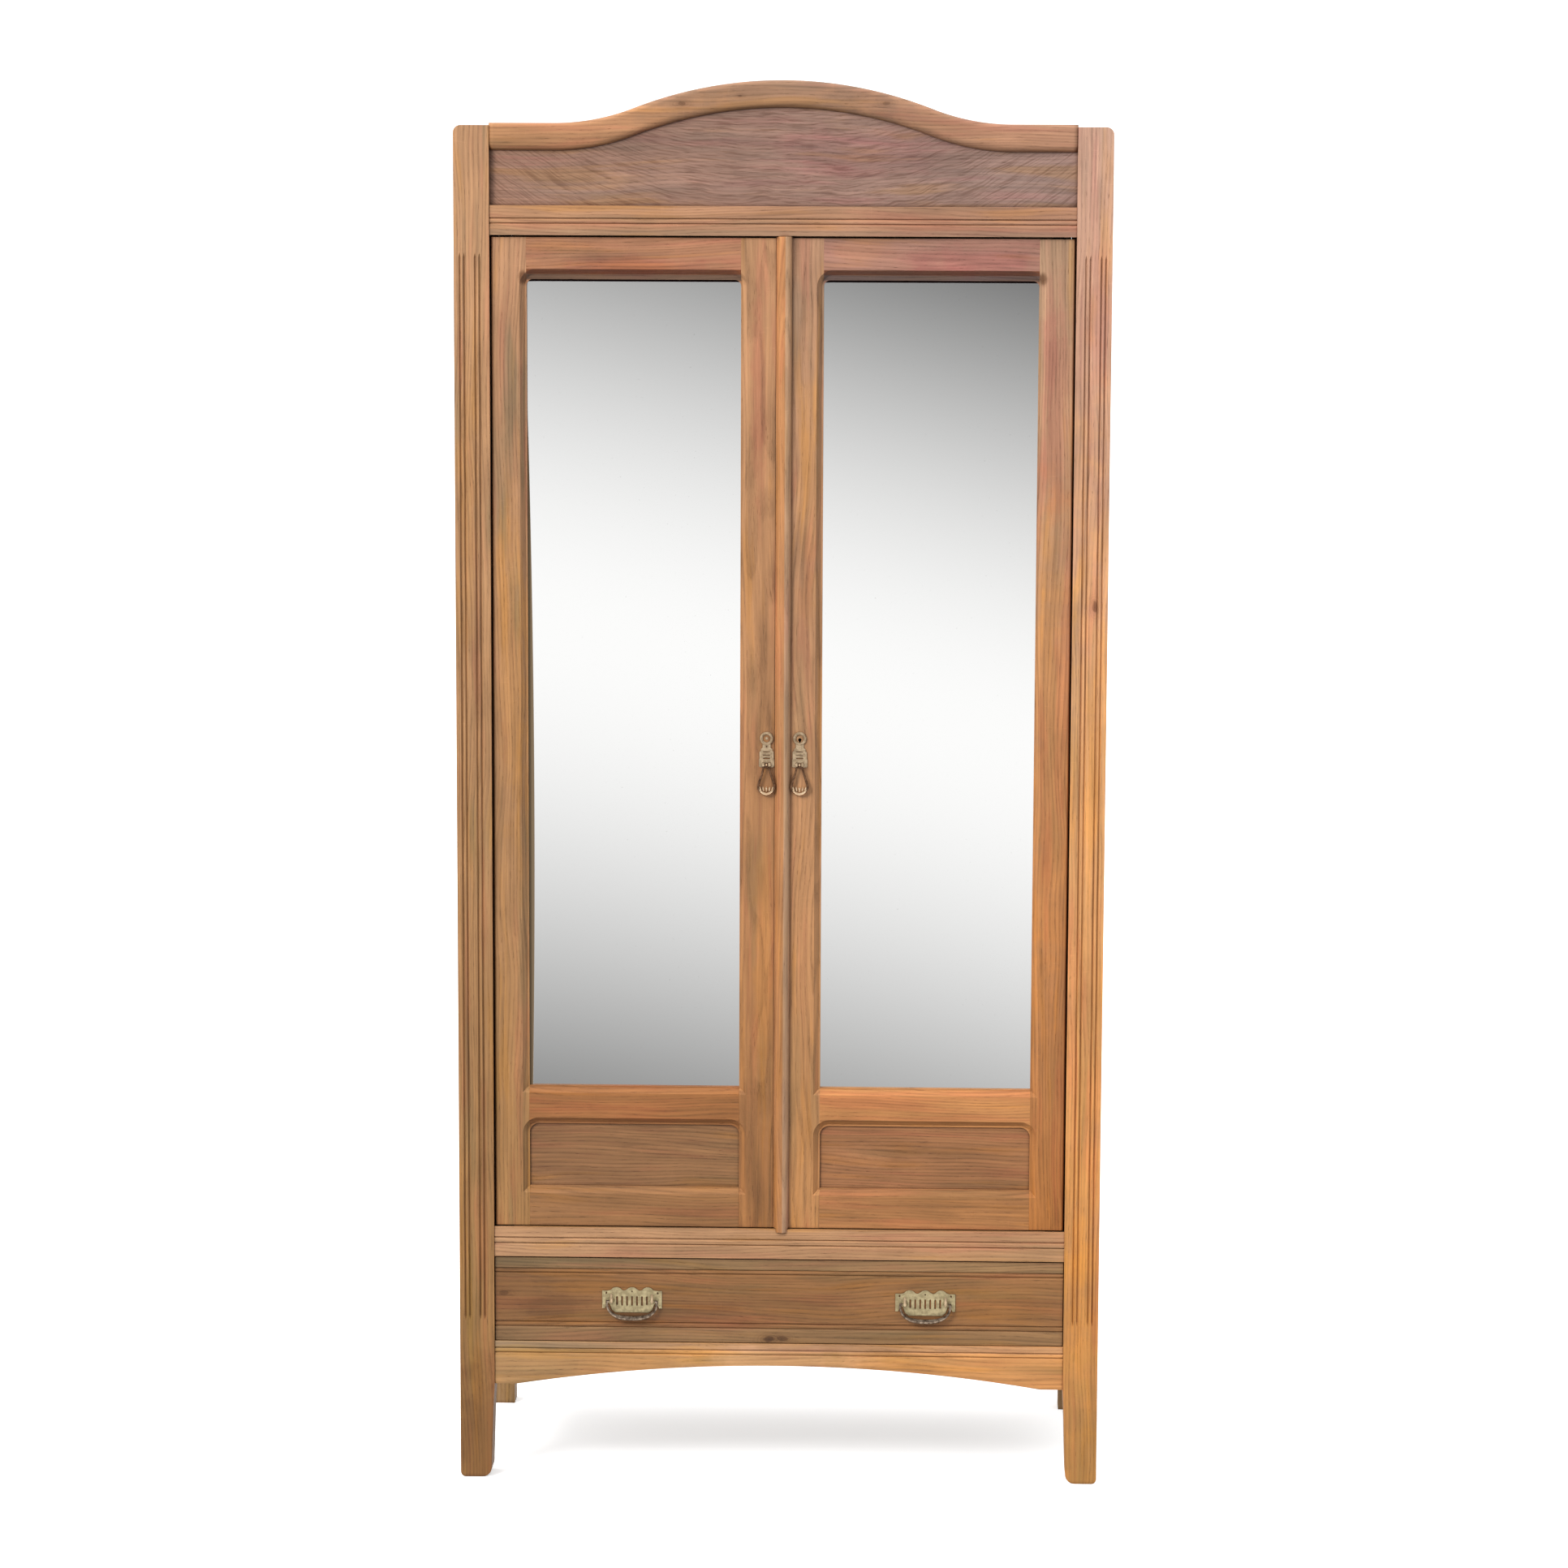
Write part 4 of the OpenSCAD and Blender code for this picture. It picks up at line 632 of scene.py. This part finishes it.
def shaped_crest():
    """The crest rail with a rounded front, inside the CAD rail's own space."""
    low, high, _ = box_of("crest_rail")
    front, back = low.y, high.y
    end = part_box("right_front_post")[0].x
    reach, rise, share, thick = 0.334, 62.5 * MM, 0.65, 40 * MM
    level = high.z - rise - thick
    # The section, as depth behind the front face and share of the rail's height
    nose, nose_share = 8 * MM, 0.18
    under, under_share = 12 * MM, 0.30
    steps, count = 7, 120
    turns = [math.pi / 2 * i / steps for i in range(steps + 1)]
    profile = [(back, 0.0)]
    profile += [(front + under * (1 - math.sin(a)), under_share * (1 - math.cos(a))) for a in turns]
    profile.append((front, 0.5))
    profile += [(front + nose * (1 - math.sin(a)), 1 - nose_share * (1 - math.cos(a)))
                for a in reversed(turns)]
    profile.append((back, 1.0))
    bm = bmesh.new()
    rings = []
    for i in range(count + 1):
        x = -end + 2 * end * i / count
        z = crest_height(x, level, rise, reach, share)
        rings.append([Vector((x, y, z + t * thick)) for y, t in profile])
    loft(bm, rings)
    grain, low_end, high_end, figure, stain = BOARDS["crest_rail"]
    material = oak_material("oak_crest_shaped", grain, low_end, high_end, (-end, end), figure, stain,
                            KNOTS["crest_rail"], PATCHES["crest_rail"], wear=0.3)
    piece("crest_rail_shaped", bm, "carcass", material, ["crest_rail"])


# ---------- Door pulls ----------

PIN_DEPTH = 3 * MM         # how far a drop's pin lies under the drop's top
PLATE_THICK = 1.5 * MM
SINK = 0.2 * MM            # how far a part on a plate reaches into it
HEAD_Z = 38.4 * MM         # the ring at a door plate's head, above the pin


def plate_mesh(name, outlines, thick, edge, where):
    """A plate with holes from flat outlines in X and Z, its edges rounded, as a bmesh."""
    curve = bpy.data.curves.new(name + "_outline", "CURVE")
    curve.dimensions = "2D"
    curve.fill_mode = "BOTH"
    curve.extrude = thick / 2 - edge
    curve.bevel_depth = edge
    curve.bevel_resolution = 2
    curve.offset = -edge
    for points in outlines:
        spline = curve.splines.new("POLY")
        spline.points.add(len(points) - 1)
        for i, (x, z) in enumerate(points):
            spline.points[i].co = (x, z, 0, 1)
        spline.use_cyclic_u = True
    holder = linked(name + "_outline", curve)
    bpy.context.view_layer.update()
    mesh = holder.to_mesh()
    bm = bmesh.new()
    bm.from_mesh(mesh)
    holder.to_mesh_clear()
    bpy.data.objects.remove(holder)
    bpy.data.curves.remove(curve)
    bmesh.ops.remove_doubles(bm, verts=bm.verts, dist=0.005 * MM)
    upright = Matrix.Rotation(math.pi / 2, 4, "X")
    bm.transform(Matrix.Translation(where) @ upright)
    return bm


def arc_points(cx, cz, r, a0, a1, count=10):
    """Points along an arc between two angles in degrees."""
    angles = [math.radians(a0 + (a1 - a0) * i / count) for i in range(count + 1)]
    return [(cx + r * math.cos(a), cz + r * math.sin(a)) for a in angles]


def slot_points(cx, cz, w, h):
    """A slot with round ends, longest along Z when h is over w."""
    if h > w:
        return (arc_points(cx, cz + h / 2 - w / 2, w / 2, 0, 180, 6)
                + arc_points(cx, cz - h / 2 + w / 2, w / 2, 180, 360, 6))
    return (arc_points(cx + w / 2 - h / 2, cz, h / 2, -90, 90, 6)
            + arc_points(cx - w / 2 + h / 2, cz, h / 2, 90, 270, 6))


def pull_plate(side, body, material, keyhole):
    """A door pull's plate: a ring for a head, stepped shoulders and three slots."""
    node = side + "_pull_plate"
    x0 = box_of(node)[2].x
    pin_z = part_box(side + "_drop_pull")[1].z - PIN_DEPTH
    drop_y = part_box(side + "_drop_pull")[0].y + 2 * MM
    face_y = DOOR_Y - PLATE_THICK
    shape = [(6.0, 30.0), (6.0, 24.5), (8.6, 23.0), (8.6, 20.0), (10.6, 18.5), (10.6, 8.0), (11.5, 6.5),
             (11.5, -3.0), (9.5, -4.5)]
    outline = arc_points(0, HEAD_Z, 10 * MM, -52, 232, 26)
    outline += [(-x * MM, z * MM) for x, z in shape] + [(x * MM, z * MM) for x, z in reversed(shape)]
    slots = ((8.8, 1.7), (13.4, 1.0), (18.6, 1.2))
    holes = [slot_points(0, z * MM, 10.5 * MM, h * MM) for z, h in slots]
    holes.append(arc_points(0, HEAD_Z, 5.8 * MM, 0, 345, 23))
    if not keyhole:
        holes.append(arc_points(0, 26.2 * MM, 1.2 * MM, 0, 330, 11))
    bm = plate_mesh(node, [outline] + holes, PLATE_THICK, 0.4 * MM,
                    Vector((x0, DOOR_Y - PLATE_THICK / 2, pin_z)))
    # A raised ring, and where there's no keyhole a boss in it
    ring_z = pin_z + HEAD_Z
    path = ring((x0, face_y, ring_z), 8.2 * MM * ACROSS, 8.2 * MM * UP, 40)
    sweep(bm, path, [1.5 * MM] * len(path), closed=True, sides=10)
    if not keyhole:
        boss(bm, (x0, DOOR_Y + SINK, ring_z), 2.4 * MM, 1.2 * MM)
    for z in (11.2, 16.0, 21.2):
        bar = [Vector((x0 + t * MM, face_y, pin_z + z * MM)) for t in (-7.5, -6.5, 6.5, 7.5)]
        sweep(bm, bar, [0.3 * MM, 0.7 * MM, 0.7 * MM, 0.3 * MM], sides=8)
    for s in (-1, 1):
        knuckle(bm, x0 + s * 4.5 * MM, drop_y, pin_z, face_y)
    piece(node + "_cast", bm, body, material, [node])


def boss(bm, centre, radius, height):
    """A low dome that faces the front."""
    steps, sides, least = 5, 20, 0.02 * MM
    rings = []
    for i in range(steps + 1):
        a = math.pi / 2 * i / steps
        r = radius * math.cos(a) + least
        middle = Vector(centre) - height * math.sin(a) * DEPTH
        rings.append(ring(middle, r * ACROSS, r * UP, sides))
    loft(bm, rings)


def barrel(bm, x, y, z, profile, sides):
    """A turned shape about a line across the front, from offsets and radii in millimetres."""
    loft(bm, [ring((x + dx * MM, y, z), r * MM * DEPTH, r * MM * UP, sides) for dx, r in profile])


def knuckle(bm, x, y, z, plate_y):
    """A barrel on a short neck that stands on the plate."""
    barrel(bm, x, y, z, [(-2.0, 2.2), (-1.7, 2.8), (0.0, 3.0), (1.7, 2.8), (2.0, 2.2)], 14)
    corners = ((-1, -1), (1, -1), (1, 1), (-1, 1))
    half_width = 1.9 * MM
    loft(bm, [[Vector((x + a * half_width, neck_y, z + b * half_height * MM)) for a, b in corners]
              for neck_y, half_height in ((y, 2.2), ((y + plate_y) / 2, 2.0), (plate_y + SINK, 2.9))])


def drop_pull(side, body, material, bright):
    """A bell-shaped loop with a bright lip and small ribs at its foot."""
    node = side + "_drop_pull"
    _, high, middle = box_of(node)
    pin_z = high.z - PIN_DEPTH
    x0, y0 = middle.x, middle.y
    # Half width, height under the pin and radius along one side of the loop
    side_line = [(2.6, -2.6, 1.2), (4.2, -5.5, 1.4), (5.4, -9.5, 1.5), (6.9, -15.0, 1.6), (8.8, -21.0, 1.7),
                 (10.8, -27.0, 1.8), (12.1, -32.0, 1.9), (11.9, -36.0, 1.9), (9.8, -39.6, 1.8),
                 (6.0, -42.2, 1.7), (2.2, -43.6, 1.6)]
    loop = [(-x, z, r) for x, z, r in side_line] + list(reversed(side_line))
    bm = bmesh.new()
    path = [Vector((x0 + x * MM, y0, pin_z + z * MM)) for x, z, _ in loop]
    sweep(bm, path, [r * MM for _, _, r in loop], closed=True, flat=0.9)
    # The eye that turns on the pin, and the pin
    for profile in (((-2.1, 2.0), (-1.8, 2.6), (1.8, 2.6), (2.1, 2.0)),
                    ((-6.5, 0.9), (-6.3, 1.2), (6.3, 1.2), (6.5, 0.9))):
        barrel(bm, x0, y0, pin_z, profile, 16)
    piece(node + "_cast", bm, body, material, [node])

    bm = bmesh.new()
    boss(bm, (x0, y0 - 1.4 * MM, pin_z), 1.8 * MM, 1.8 * MM)
    half_lip = [(5.0, -42.4, 1.7), (8.2, -39.9, 1.4), (10.6, -37.2, 0.7)]
    lip = [(-x, z, r) for x, z, r in reversed(half_lip)] + [(0.0, -44.0, 1.8)] + half_lip
    path = [Vector((x0 + x * MM, y0 - 1.0 * MM, pin_z + z * MM)) for x, z, _ in lip]
    sweep(bm, path, [r * MM for _, _, r in lip], flat=0.7)
    for i in range(-2, 3):
        foot = (x0 + i * 4.0 * MM, y0 - 0.6 * MM, pin_z - (40.6 - 0.9 * abs(i)) * MM)
        petal(bm, foot, i * 9, (7.5 - 0.6 * abs(i)) * MM, 1.25 * MM)
    piece(node + "_lip", bm, body, bright)


def petal(bm, foot, turn, length, half_width):
    """A tapered rib that fans out from a foot, turned from upright by some degrees."""
    steps, sides, tip, flatness = 8, 10, 0.1 * MM, 0.75
    a = math.radians(turn)
    along = Vector((math.sin(a), 0, math.cos(a)))
    across = Vector((math.cos(a), 0, -math.sin(a)))
    rings = []
    for i in range(steps + 1):
        t = i / steps
        swell = 0.25 + 0.75 * math.sin(math.pi * min(t * 0.75 + 0.12, 1.0))
        r = half_width * swell if t < 1 else tip
        rings.append(ring(Vector(foot) + along * (length * t), r * across, flatness * r * DEPTH, sides))
    loft(bm, rings)


# ---------- Drawer pulls ----------

BAIL_RADIUS = 2.2 * MM
STUD_REACH = 30.5 * MM     # how far each stud lies from a pull's middle


def drawer_plate_outline(half, foot, top):
    """The plate's edge in millimetres: a narrow foot, square ears and three lobes."""
    right = [(25.0, foot), (30.5, foot + 4.5), (33.5, foot + 13), (37.5, foot + 15.5), (39.5, foot + 9),
             (41.0, foot + 6.5), (half, foot + 6.5), (half, foot + 33.5), (half - 9, foot + 33.5)]
    dip = top - 5.2
    lobes = (arc_points(23.5, top - 10, 10, 35, 145) + [(12.6, dip), (10.8, dip)]
             + arc_points(0, top - 9.6, 9.6, 45, 135) + [(-10.8, dip), (-12.6, dip)]
             + arc_points(-23.5, top - 10, 10, 35, 145))
    edge = right + lobes + [(-x, z) for x, z in reversed(right)]
    return [(x * MM, z * MM) for x, z in edge]


def drawer_pull(side, material, lug_material, bail_material):
    """A pierced plate, the lugs before its studs, and its bail."""
    low, high, middle = box_of(side + "_bail")
    pin_z = high.z - BAIL_RADIUS
    x0, y0 = middle.x, low.y + BAIL_RADIUS
    outline = drawer_plate_outline(45, -19.0, 20.0)
    # Seven upright slots, the outer two a little higher and shorter
    holes = [slot_points(i * 7.5 * MM, (-1.2 + 0.5 * (abs(i) == 3)) * MM, 2.6 * MM,
                         (14.6 - 1.2 * (abs(i) == 3)) * MM) for i in range(-3, 4)]
    holes.append(slot_points(0, 13.5 * MM, 2.0 * MM, 2.4 * MM))
    holes += [slot_points(t * 38.6 * MM, 11 * MM, 2.2 * MM, 3.4 * MM) for t in (-1, 1)]
    bm = plate_mesh(side + "_drawer_plate", [outline] + holes, PLATE_THICK, 0.35 * MM,
                    Vector((x0, DRAWER_Y - PLATE_THICK / 2, pin_z)))
    for t in (-1, 1):
        stud(bm, x0 + t * STUD_REACH, y0, pin_z, DRAWER_Y - PLATE_THICK)
    piece(side + "_drawer_plate", bm, "drawer", material, ["drawer_pull_plates"])
    bm = bmesh.new()
    for t in (-1, 1):
        lug(bm, x0 + t * STUD_REACH, y0 - 3.2 * MM, pin_z)
    piece(side + "_drawer_lugs", bm, "drawer", lug_material)
    bail(side, Vector((x0, y0, pin_z)), (high.x - low.x) / 2 - BAIL_RADIUS, pin_z - low.z, bail_material)


def lug(bm, x, y, z):
    """An upright tapered finger before the stud, from which the bail hangs."""
    profile = ((-3.2, 0.6), (-2.4, 1.5), (0.0, 1.9), (4.0, 2.1), (8.0, 1.9), (11.0, 1.2), (12.0, 0.4))
    loft(bm, [ring((x, y, z + dz * MM), r * MM * ACROSS, 0.8 * r * MM * DEPTH, 14) for dz, r in profile])


def stud(bm, x, y, z, plate_y):
    """A stud that stands out of the plate, with a round collar, where the bail's end turns."""
    profile = [(plate_y + SINK, 4.6), (plate_y - 0.8 * MM, 4.4), (plate_y - 1.2 * MM, 3.5),
               (y, 3.4), (y - 2.6 * MM, 3.2), (y - 3.5 * MM, 2.3), (y - 3.9 * MM, 1.0)]
    loft(bm, [ring((x, ring_y, z), r * MM * ACROSS, r * MM * UP, 16) for ring_y, r in profile])


def bail(side, pin, half, depth, material):
    """A cast bail, thick in the middle, whose ends turn inwards to the studs."""
    count = 56
    # Distance from the middle and radius along the end that turns inwards
    ends = [(half - 8 * MM, 1.5), (half - 3 * MM, 1.6)]
    path = [pin - x * ACROSS for x, _ in ends]
    radii = [r * MM for _, r in ends]
    for i in range(count + 1):
        a = math.pi * (1 - i / count)
        c, s = math.cos(a), math.sin(a)
        x = half * math.copysign(abs(c) ** 0.8, c)
        z = -(depth - 3.7 * MM) * s ** 0.72
        path.append(pin + Vector((x, 0, z)))
        radii.append((1.9 + 1.8 * s ** 3) * MM)
    path += [pin + x * ACROSS for x, _ in reversed(ends)]
    radii += [r * MM for _, r in reversed(ends)]
    bm = bmesh.new()
    sweep(bm, path, radii, sides=14, flat=0.85)
    piece(side + "_bail_cast", bm, side + "_bail", material, [side + "_bail"])


# ---------- Stage, light and camera ----------

def camera():
    """The camera that gives the main view."""
    pitch, yaw, roll = math.radians(7.847), math.radians(-1.705), math.radians(0.221)
    look = Vector((math.sin(yaw) * math.cos(pitch), math.cos(yaw) * math.cos(pitch), -math.sin(pitch)))
    right = look.cross(UP).normalized()
    up = right.cross(look)
    tilted_right = right * math.cos(roll) + up * math.sin(roll)
    tilted_up = up * math.cos(roll) - right * math.sin(roll)
    data = bpy.data.cameras.new("camera")
    data.sensor_width = 36.0
    data.lens = 103.17
    data.clip_end = 60.0
    made = linked("camera", data)
    turn = Matrix((tilted_right, tilted_up, -look)).transposed().to_4x4()
    made.matrix_world = Matrix.Translation(EYE) @ turn
    bpy.context.scene.camera = made


def staged(name, rows, material, hidden_from, smooth=True):
    """A sheet through rows of points that isn't part of the object; some kinds of ray don't see it."""
    bm = bmesh.new()
    made = [[bm.verts.new(p) for p in row] for row in rows]
    for a, b in zip(made, made[1:]):
        for j in range(len(a) - 1):
            bm.faces.new((a[j], a[j + 1], b[j + 1], b[j]))
    # Closes a sheet whose rows end where they start
    bmesh.ops.remove_doubles(bm, verts=bm.verts, dist=0.01 * MM)
    thing = mesh_object(name, bm, material, smooth)
    for kind in hidden_from:
        setattr(thing, "visible_" + kind, False)


def floor():
    """A pale floor with a gently curved rise far behind."""
    half, bend = 9.0, 2.5
    bend_y, top_z = 4.0, 7.0
    turns = [math.radians(a) for a in range(10, 91, 10)]
    profile = [(-half, 0.0), (bend_y, 0.0)]
    profile += [(bend_y + bend * math.sin(a), bend - bend * math.cos(a)) for a in turns]
    profile.append((bend_y + bend, top_z))
    material, tree = new_material("pale_floor")
    shader = add(tree, "ShaderNodeBsdfPrincipled",
                 {"Base Color": (0.86, 0.86, 0.86, 1.0), "Roughness": 0.9, "Specular IOR Level": 0.1,
                  "Emission Color": (1.0, 1.0, 1.0, 1.0), "Emission Strength": 0.5})
    finish_material(tree, shader)
    staged("floor", [[(-half, y, z), (half, y, z)] for y, z in profile], material, ["diffuse"])


def backdrop():
    """A white wall all round the floor, which only the camera sees."""
    radius, high, count = 8.9, 12.0, 96
    turns = [TURN * i / count for i in range(count + 1)]
    material, tree = new_material("white_wall")
    finish_material(tree, add(tree, "ShaderNodeEmission", {"Strength": 1.0}))
    rows = [[(radius * math.cos(a), radius * math.sin(a), z) for a in turns] for z in (0.0, high)]
    staged("backdrop", rows, material, ["diffuse", "glossy", "transmission", "volume_scatter", "shadow"],
           smooth=False)


def reflector():
    """A curved card before the doors that only the mirrors see: bright across its middle."""
    radius = 1.5
    turns = [math.radians(a) for a in range(-88, 89, 4)]
    rows = [[(radius * math.sin(a), GLASS_Y - radius * math.cos(a), z) for a in turns] for z in (0.03, 2.7)]
    # The brightest line's height on the glass and its slope, and how far the light fades each way
    bright_z, slope, fade_up, fade_down, furthest = 1.215, 0.24, 0.97, -1.09, 0.80

    material, tree = new_material("reflector")
    spot = add(tree, "ShaderNodeTexCoord").outputs["Object"]
    axes = add(tree, "ShaderNodeSeparateXYZ", {"Vector": spot}).outputs
    # A place on the glass sees the card this much further from the eye's own height and side
    reach = EYE.y - GLASS_Y
    grow = (radius - reach) / -reach
    glass_x = math_node(tree, "MULTIPLY_ADD", axes[0], 1 / grow, EYE.x * (1 - 1 / grow))
    glass_z = math_node(tree, "MULTIPLY_ADD", axes[2], 1 / grow, EYE.z * (1 - 1 / grow))
    level = math_node(tree, "MULTIPLY_ADD", glass_x, slope, glass_z)
    level = math_node(tree, "SUBTRACT", level, bright_z)
    above = math_node(tree, "DIVIDE", level, fade_up)
    below = math_node(tree, "DIVIDE", level, fade_down)
    away = math_node(tree, "MINIMUM", math_node(tree, "MAXIMUM", above, below), furthest)
    wave = math_node(tree, "COSINE", math_node(tree, "MULTIPLY", away, math.pi))
    light = math_node(tree, "MULTIPLY_ADD", wave, 0.5, 0.5)
    white = add(tree, "ShaderNodeCombineColor", {0: light, 1: light, 2: light}).outputs[0]
    finish_material(tree, add(tree, "ShaderNodeEmission", {"Color": white, "Strength": 1.0}))
    staged("reflector", rows, material, ["camera", "diffuse", "transmission", "volume_scatter", "shadow"])


def area_light(name, place, target, size, power):
    """A soft round light that shows in no reflection."""
    data = bpy.data.lights.new(name, "AREA")
    data.shape = "DISK"
    data.size = size
    data.energy = power
    thing = linked(name, data)
    thing.location = place
    thing.rotation_euler = (Vector(target) - Vector(place)).to_track_quat("-Z", "Y").to_euler()
    thing.visible_glossy = False


def lighting():
    """A bright ceiling and a dark floor all round, brighter on the left, and a soft key light."""
    world = bpy.data.worlds.new("studio")
    world.use_nodes = True
    tree = world.node_tree
    away = add(tree, "ShaderNodeTexCoord").outputs["Generated"]
    axes = add(tree, "ShaderNodeSeparateXYZ", {"Vector": away}).outputs
    height = ramp(tree, axes[2], -0.30, 0.30, 0.12, 1.55)
    side = math_node(tree, "MULTIPLY_ADD", axes[0], -0.40, 1.0)
    sky = tree.nodes["Background"].inputs
    feed(tree, sky["Strength"], times(tree, height, side))
    feed(tree, sky["Color"], (1.0, 1.0, 1.0, 1.0))
    bpy.context.scene.world = world
    area_light("key", (-3.0, -3.8, 3.9), (0.0, 0.0, 1.1), 2.0, 220.0)
    bpy.context.scene.view_settings.view_transform = "Standard"


# ---------- Build ----------

camera()
floor()
backdrop()
reflector()
lighting()
paint_boards()
shaped_crest()

# Colours of the high spots, the film and the dirt, roughness and metallic share
BRASS = metal_material("old_brass", (172, 157, 120), (150, 136, 102), (66, 54, 34), 0.46, 0.6, 0.15)
PALE_BRASS = metal_material("pale_brass", (192, 168, 136), (162, 139, 110), (78, 60, 42), 0.46, 0.6, 0.15)
BRIGHT_BRASS = metal_material("worn_brass", (232, 204, 168), (204, 170, 134), (90, 66, 44), 0.34, 0.8, 0.1)
BAIL_METAL = metal_material("old_bronze", (138, 122, 106), (84, 70, 58), (38, 30, 24), 0.34)
DROP_METAL = metal_material("brown_bronze", (132, 98, 72), (84, 58, 40), (40, 26, 18), 0.38, 0.8)
IRON = metal_material("oiled_iron", (88, 82, 76), (62, 56, 50), (34, 28, 24), 0.5)
for node in ("left_door_mirror", "right_door_mirror"):
    assign(node, mirror_material(node, node == "left_door_mirror"))
for node in ("pivot_sockets", "left_door_pivots", "right_door_pivots", "lock_staple", "bolt_guides",
             "top_bolt", "bottom_bolt", "lock_case"):
    assign(node, IRON)
assign("lock_bolt", BRASS)

for side in ("left", "right"):
    pull_plate(side, side + "_door", PALE_BRASS, side == "right")
    drop_pull(side, side + "_drop", DROP_METAL, BRIGHT_BRASS)
    drawer_pull(side, BRASS, PALE_BRASS, BAIL_METAL)

# The nodes that pieces replace, and the glass, keep their own edges
KEPT_SHARP = {"left_door_mirror", "right_door_mirror", "crest_rail", "left_pull_plate", "right_pull_plate",
              "left_drop_pull", "right_drop_pull", "drawer_pull_plates", "left_bail", "right_bail"}
POST_EDGE, BOARD_EDGE = 1.0 * MM, 0.6 * MM
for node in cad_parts:
    if node not in KEPT_SHARP:
        soften(node, POST_EDGE if node in ("left_front_post", "right_front_post") else BOARD_EDGE)
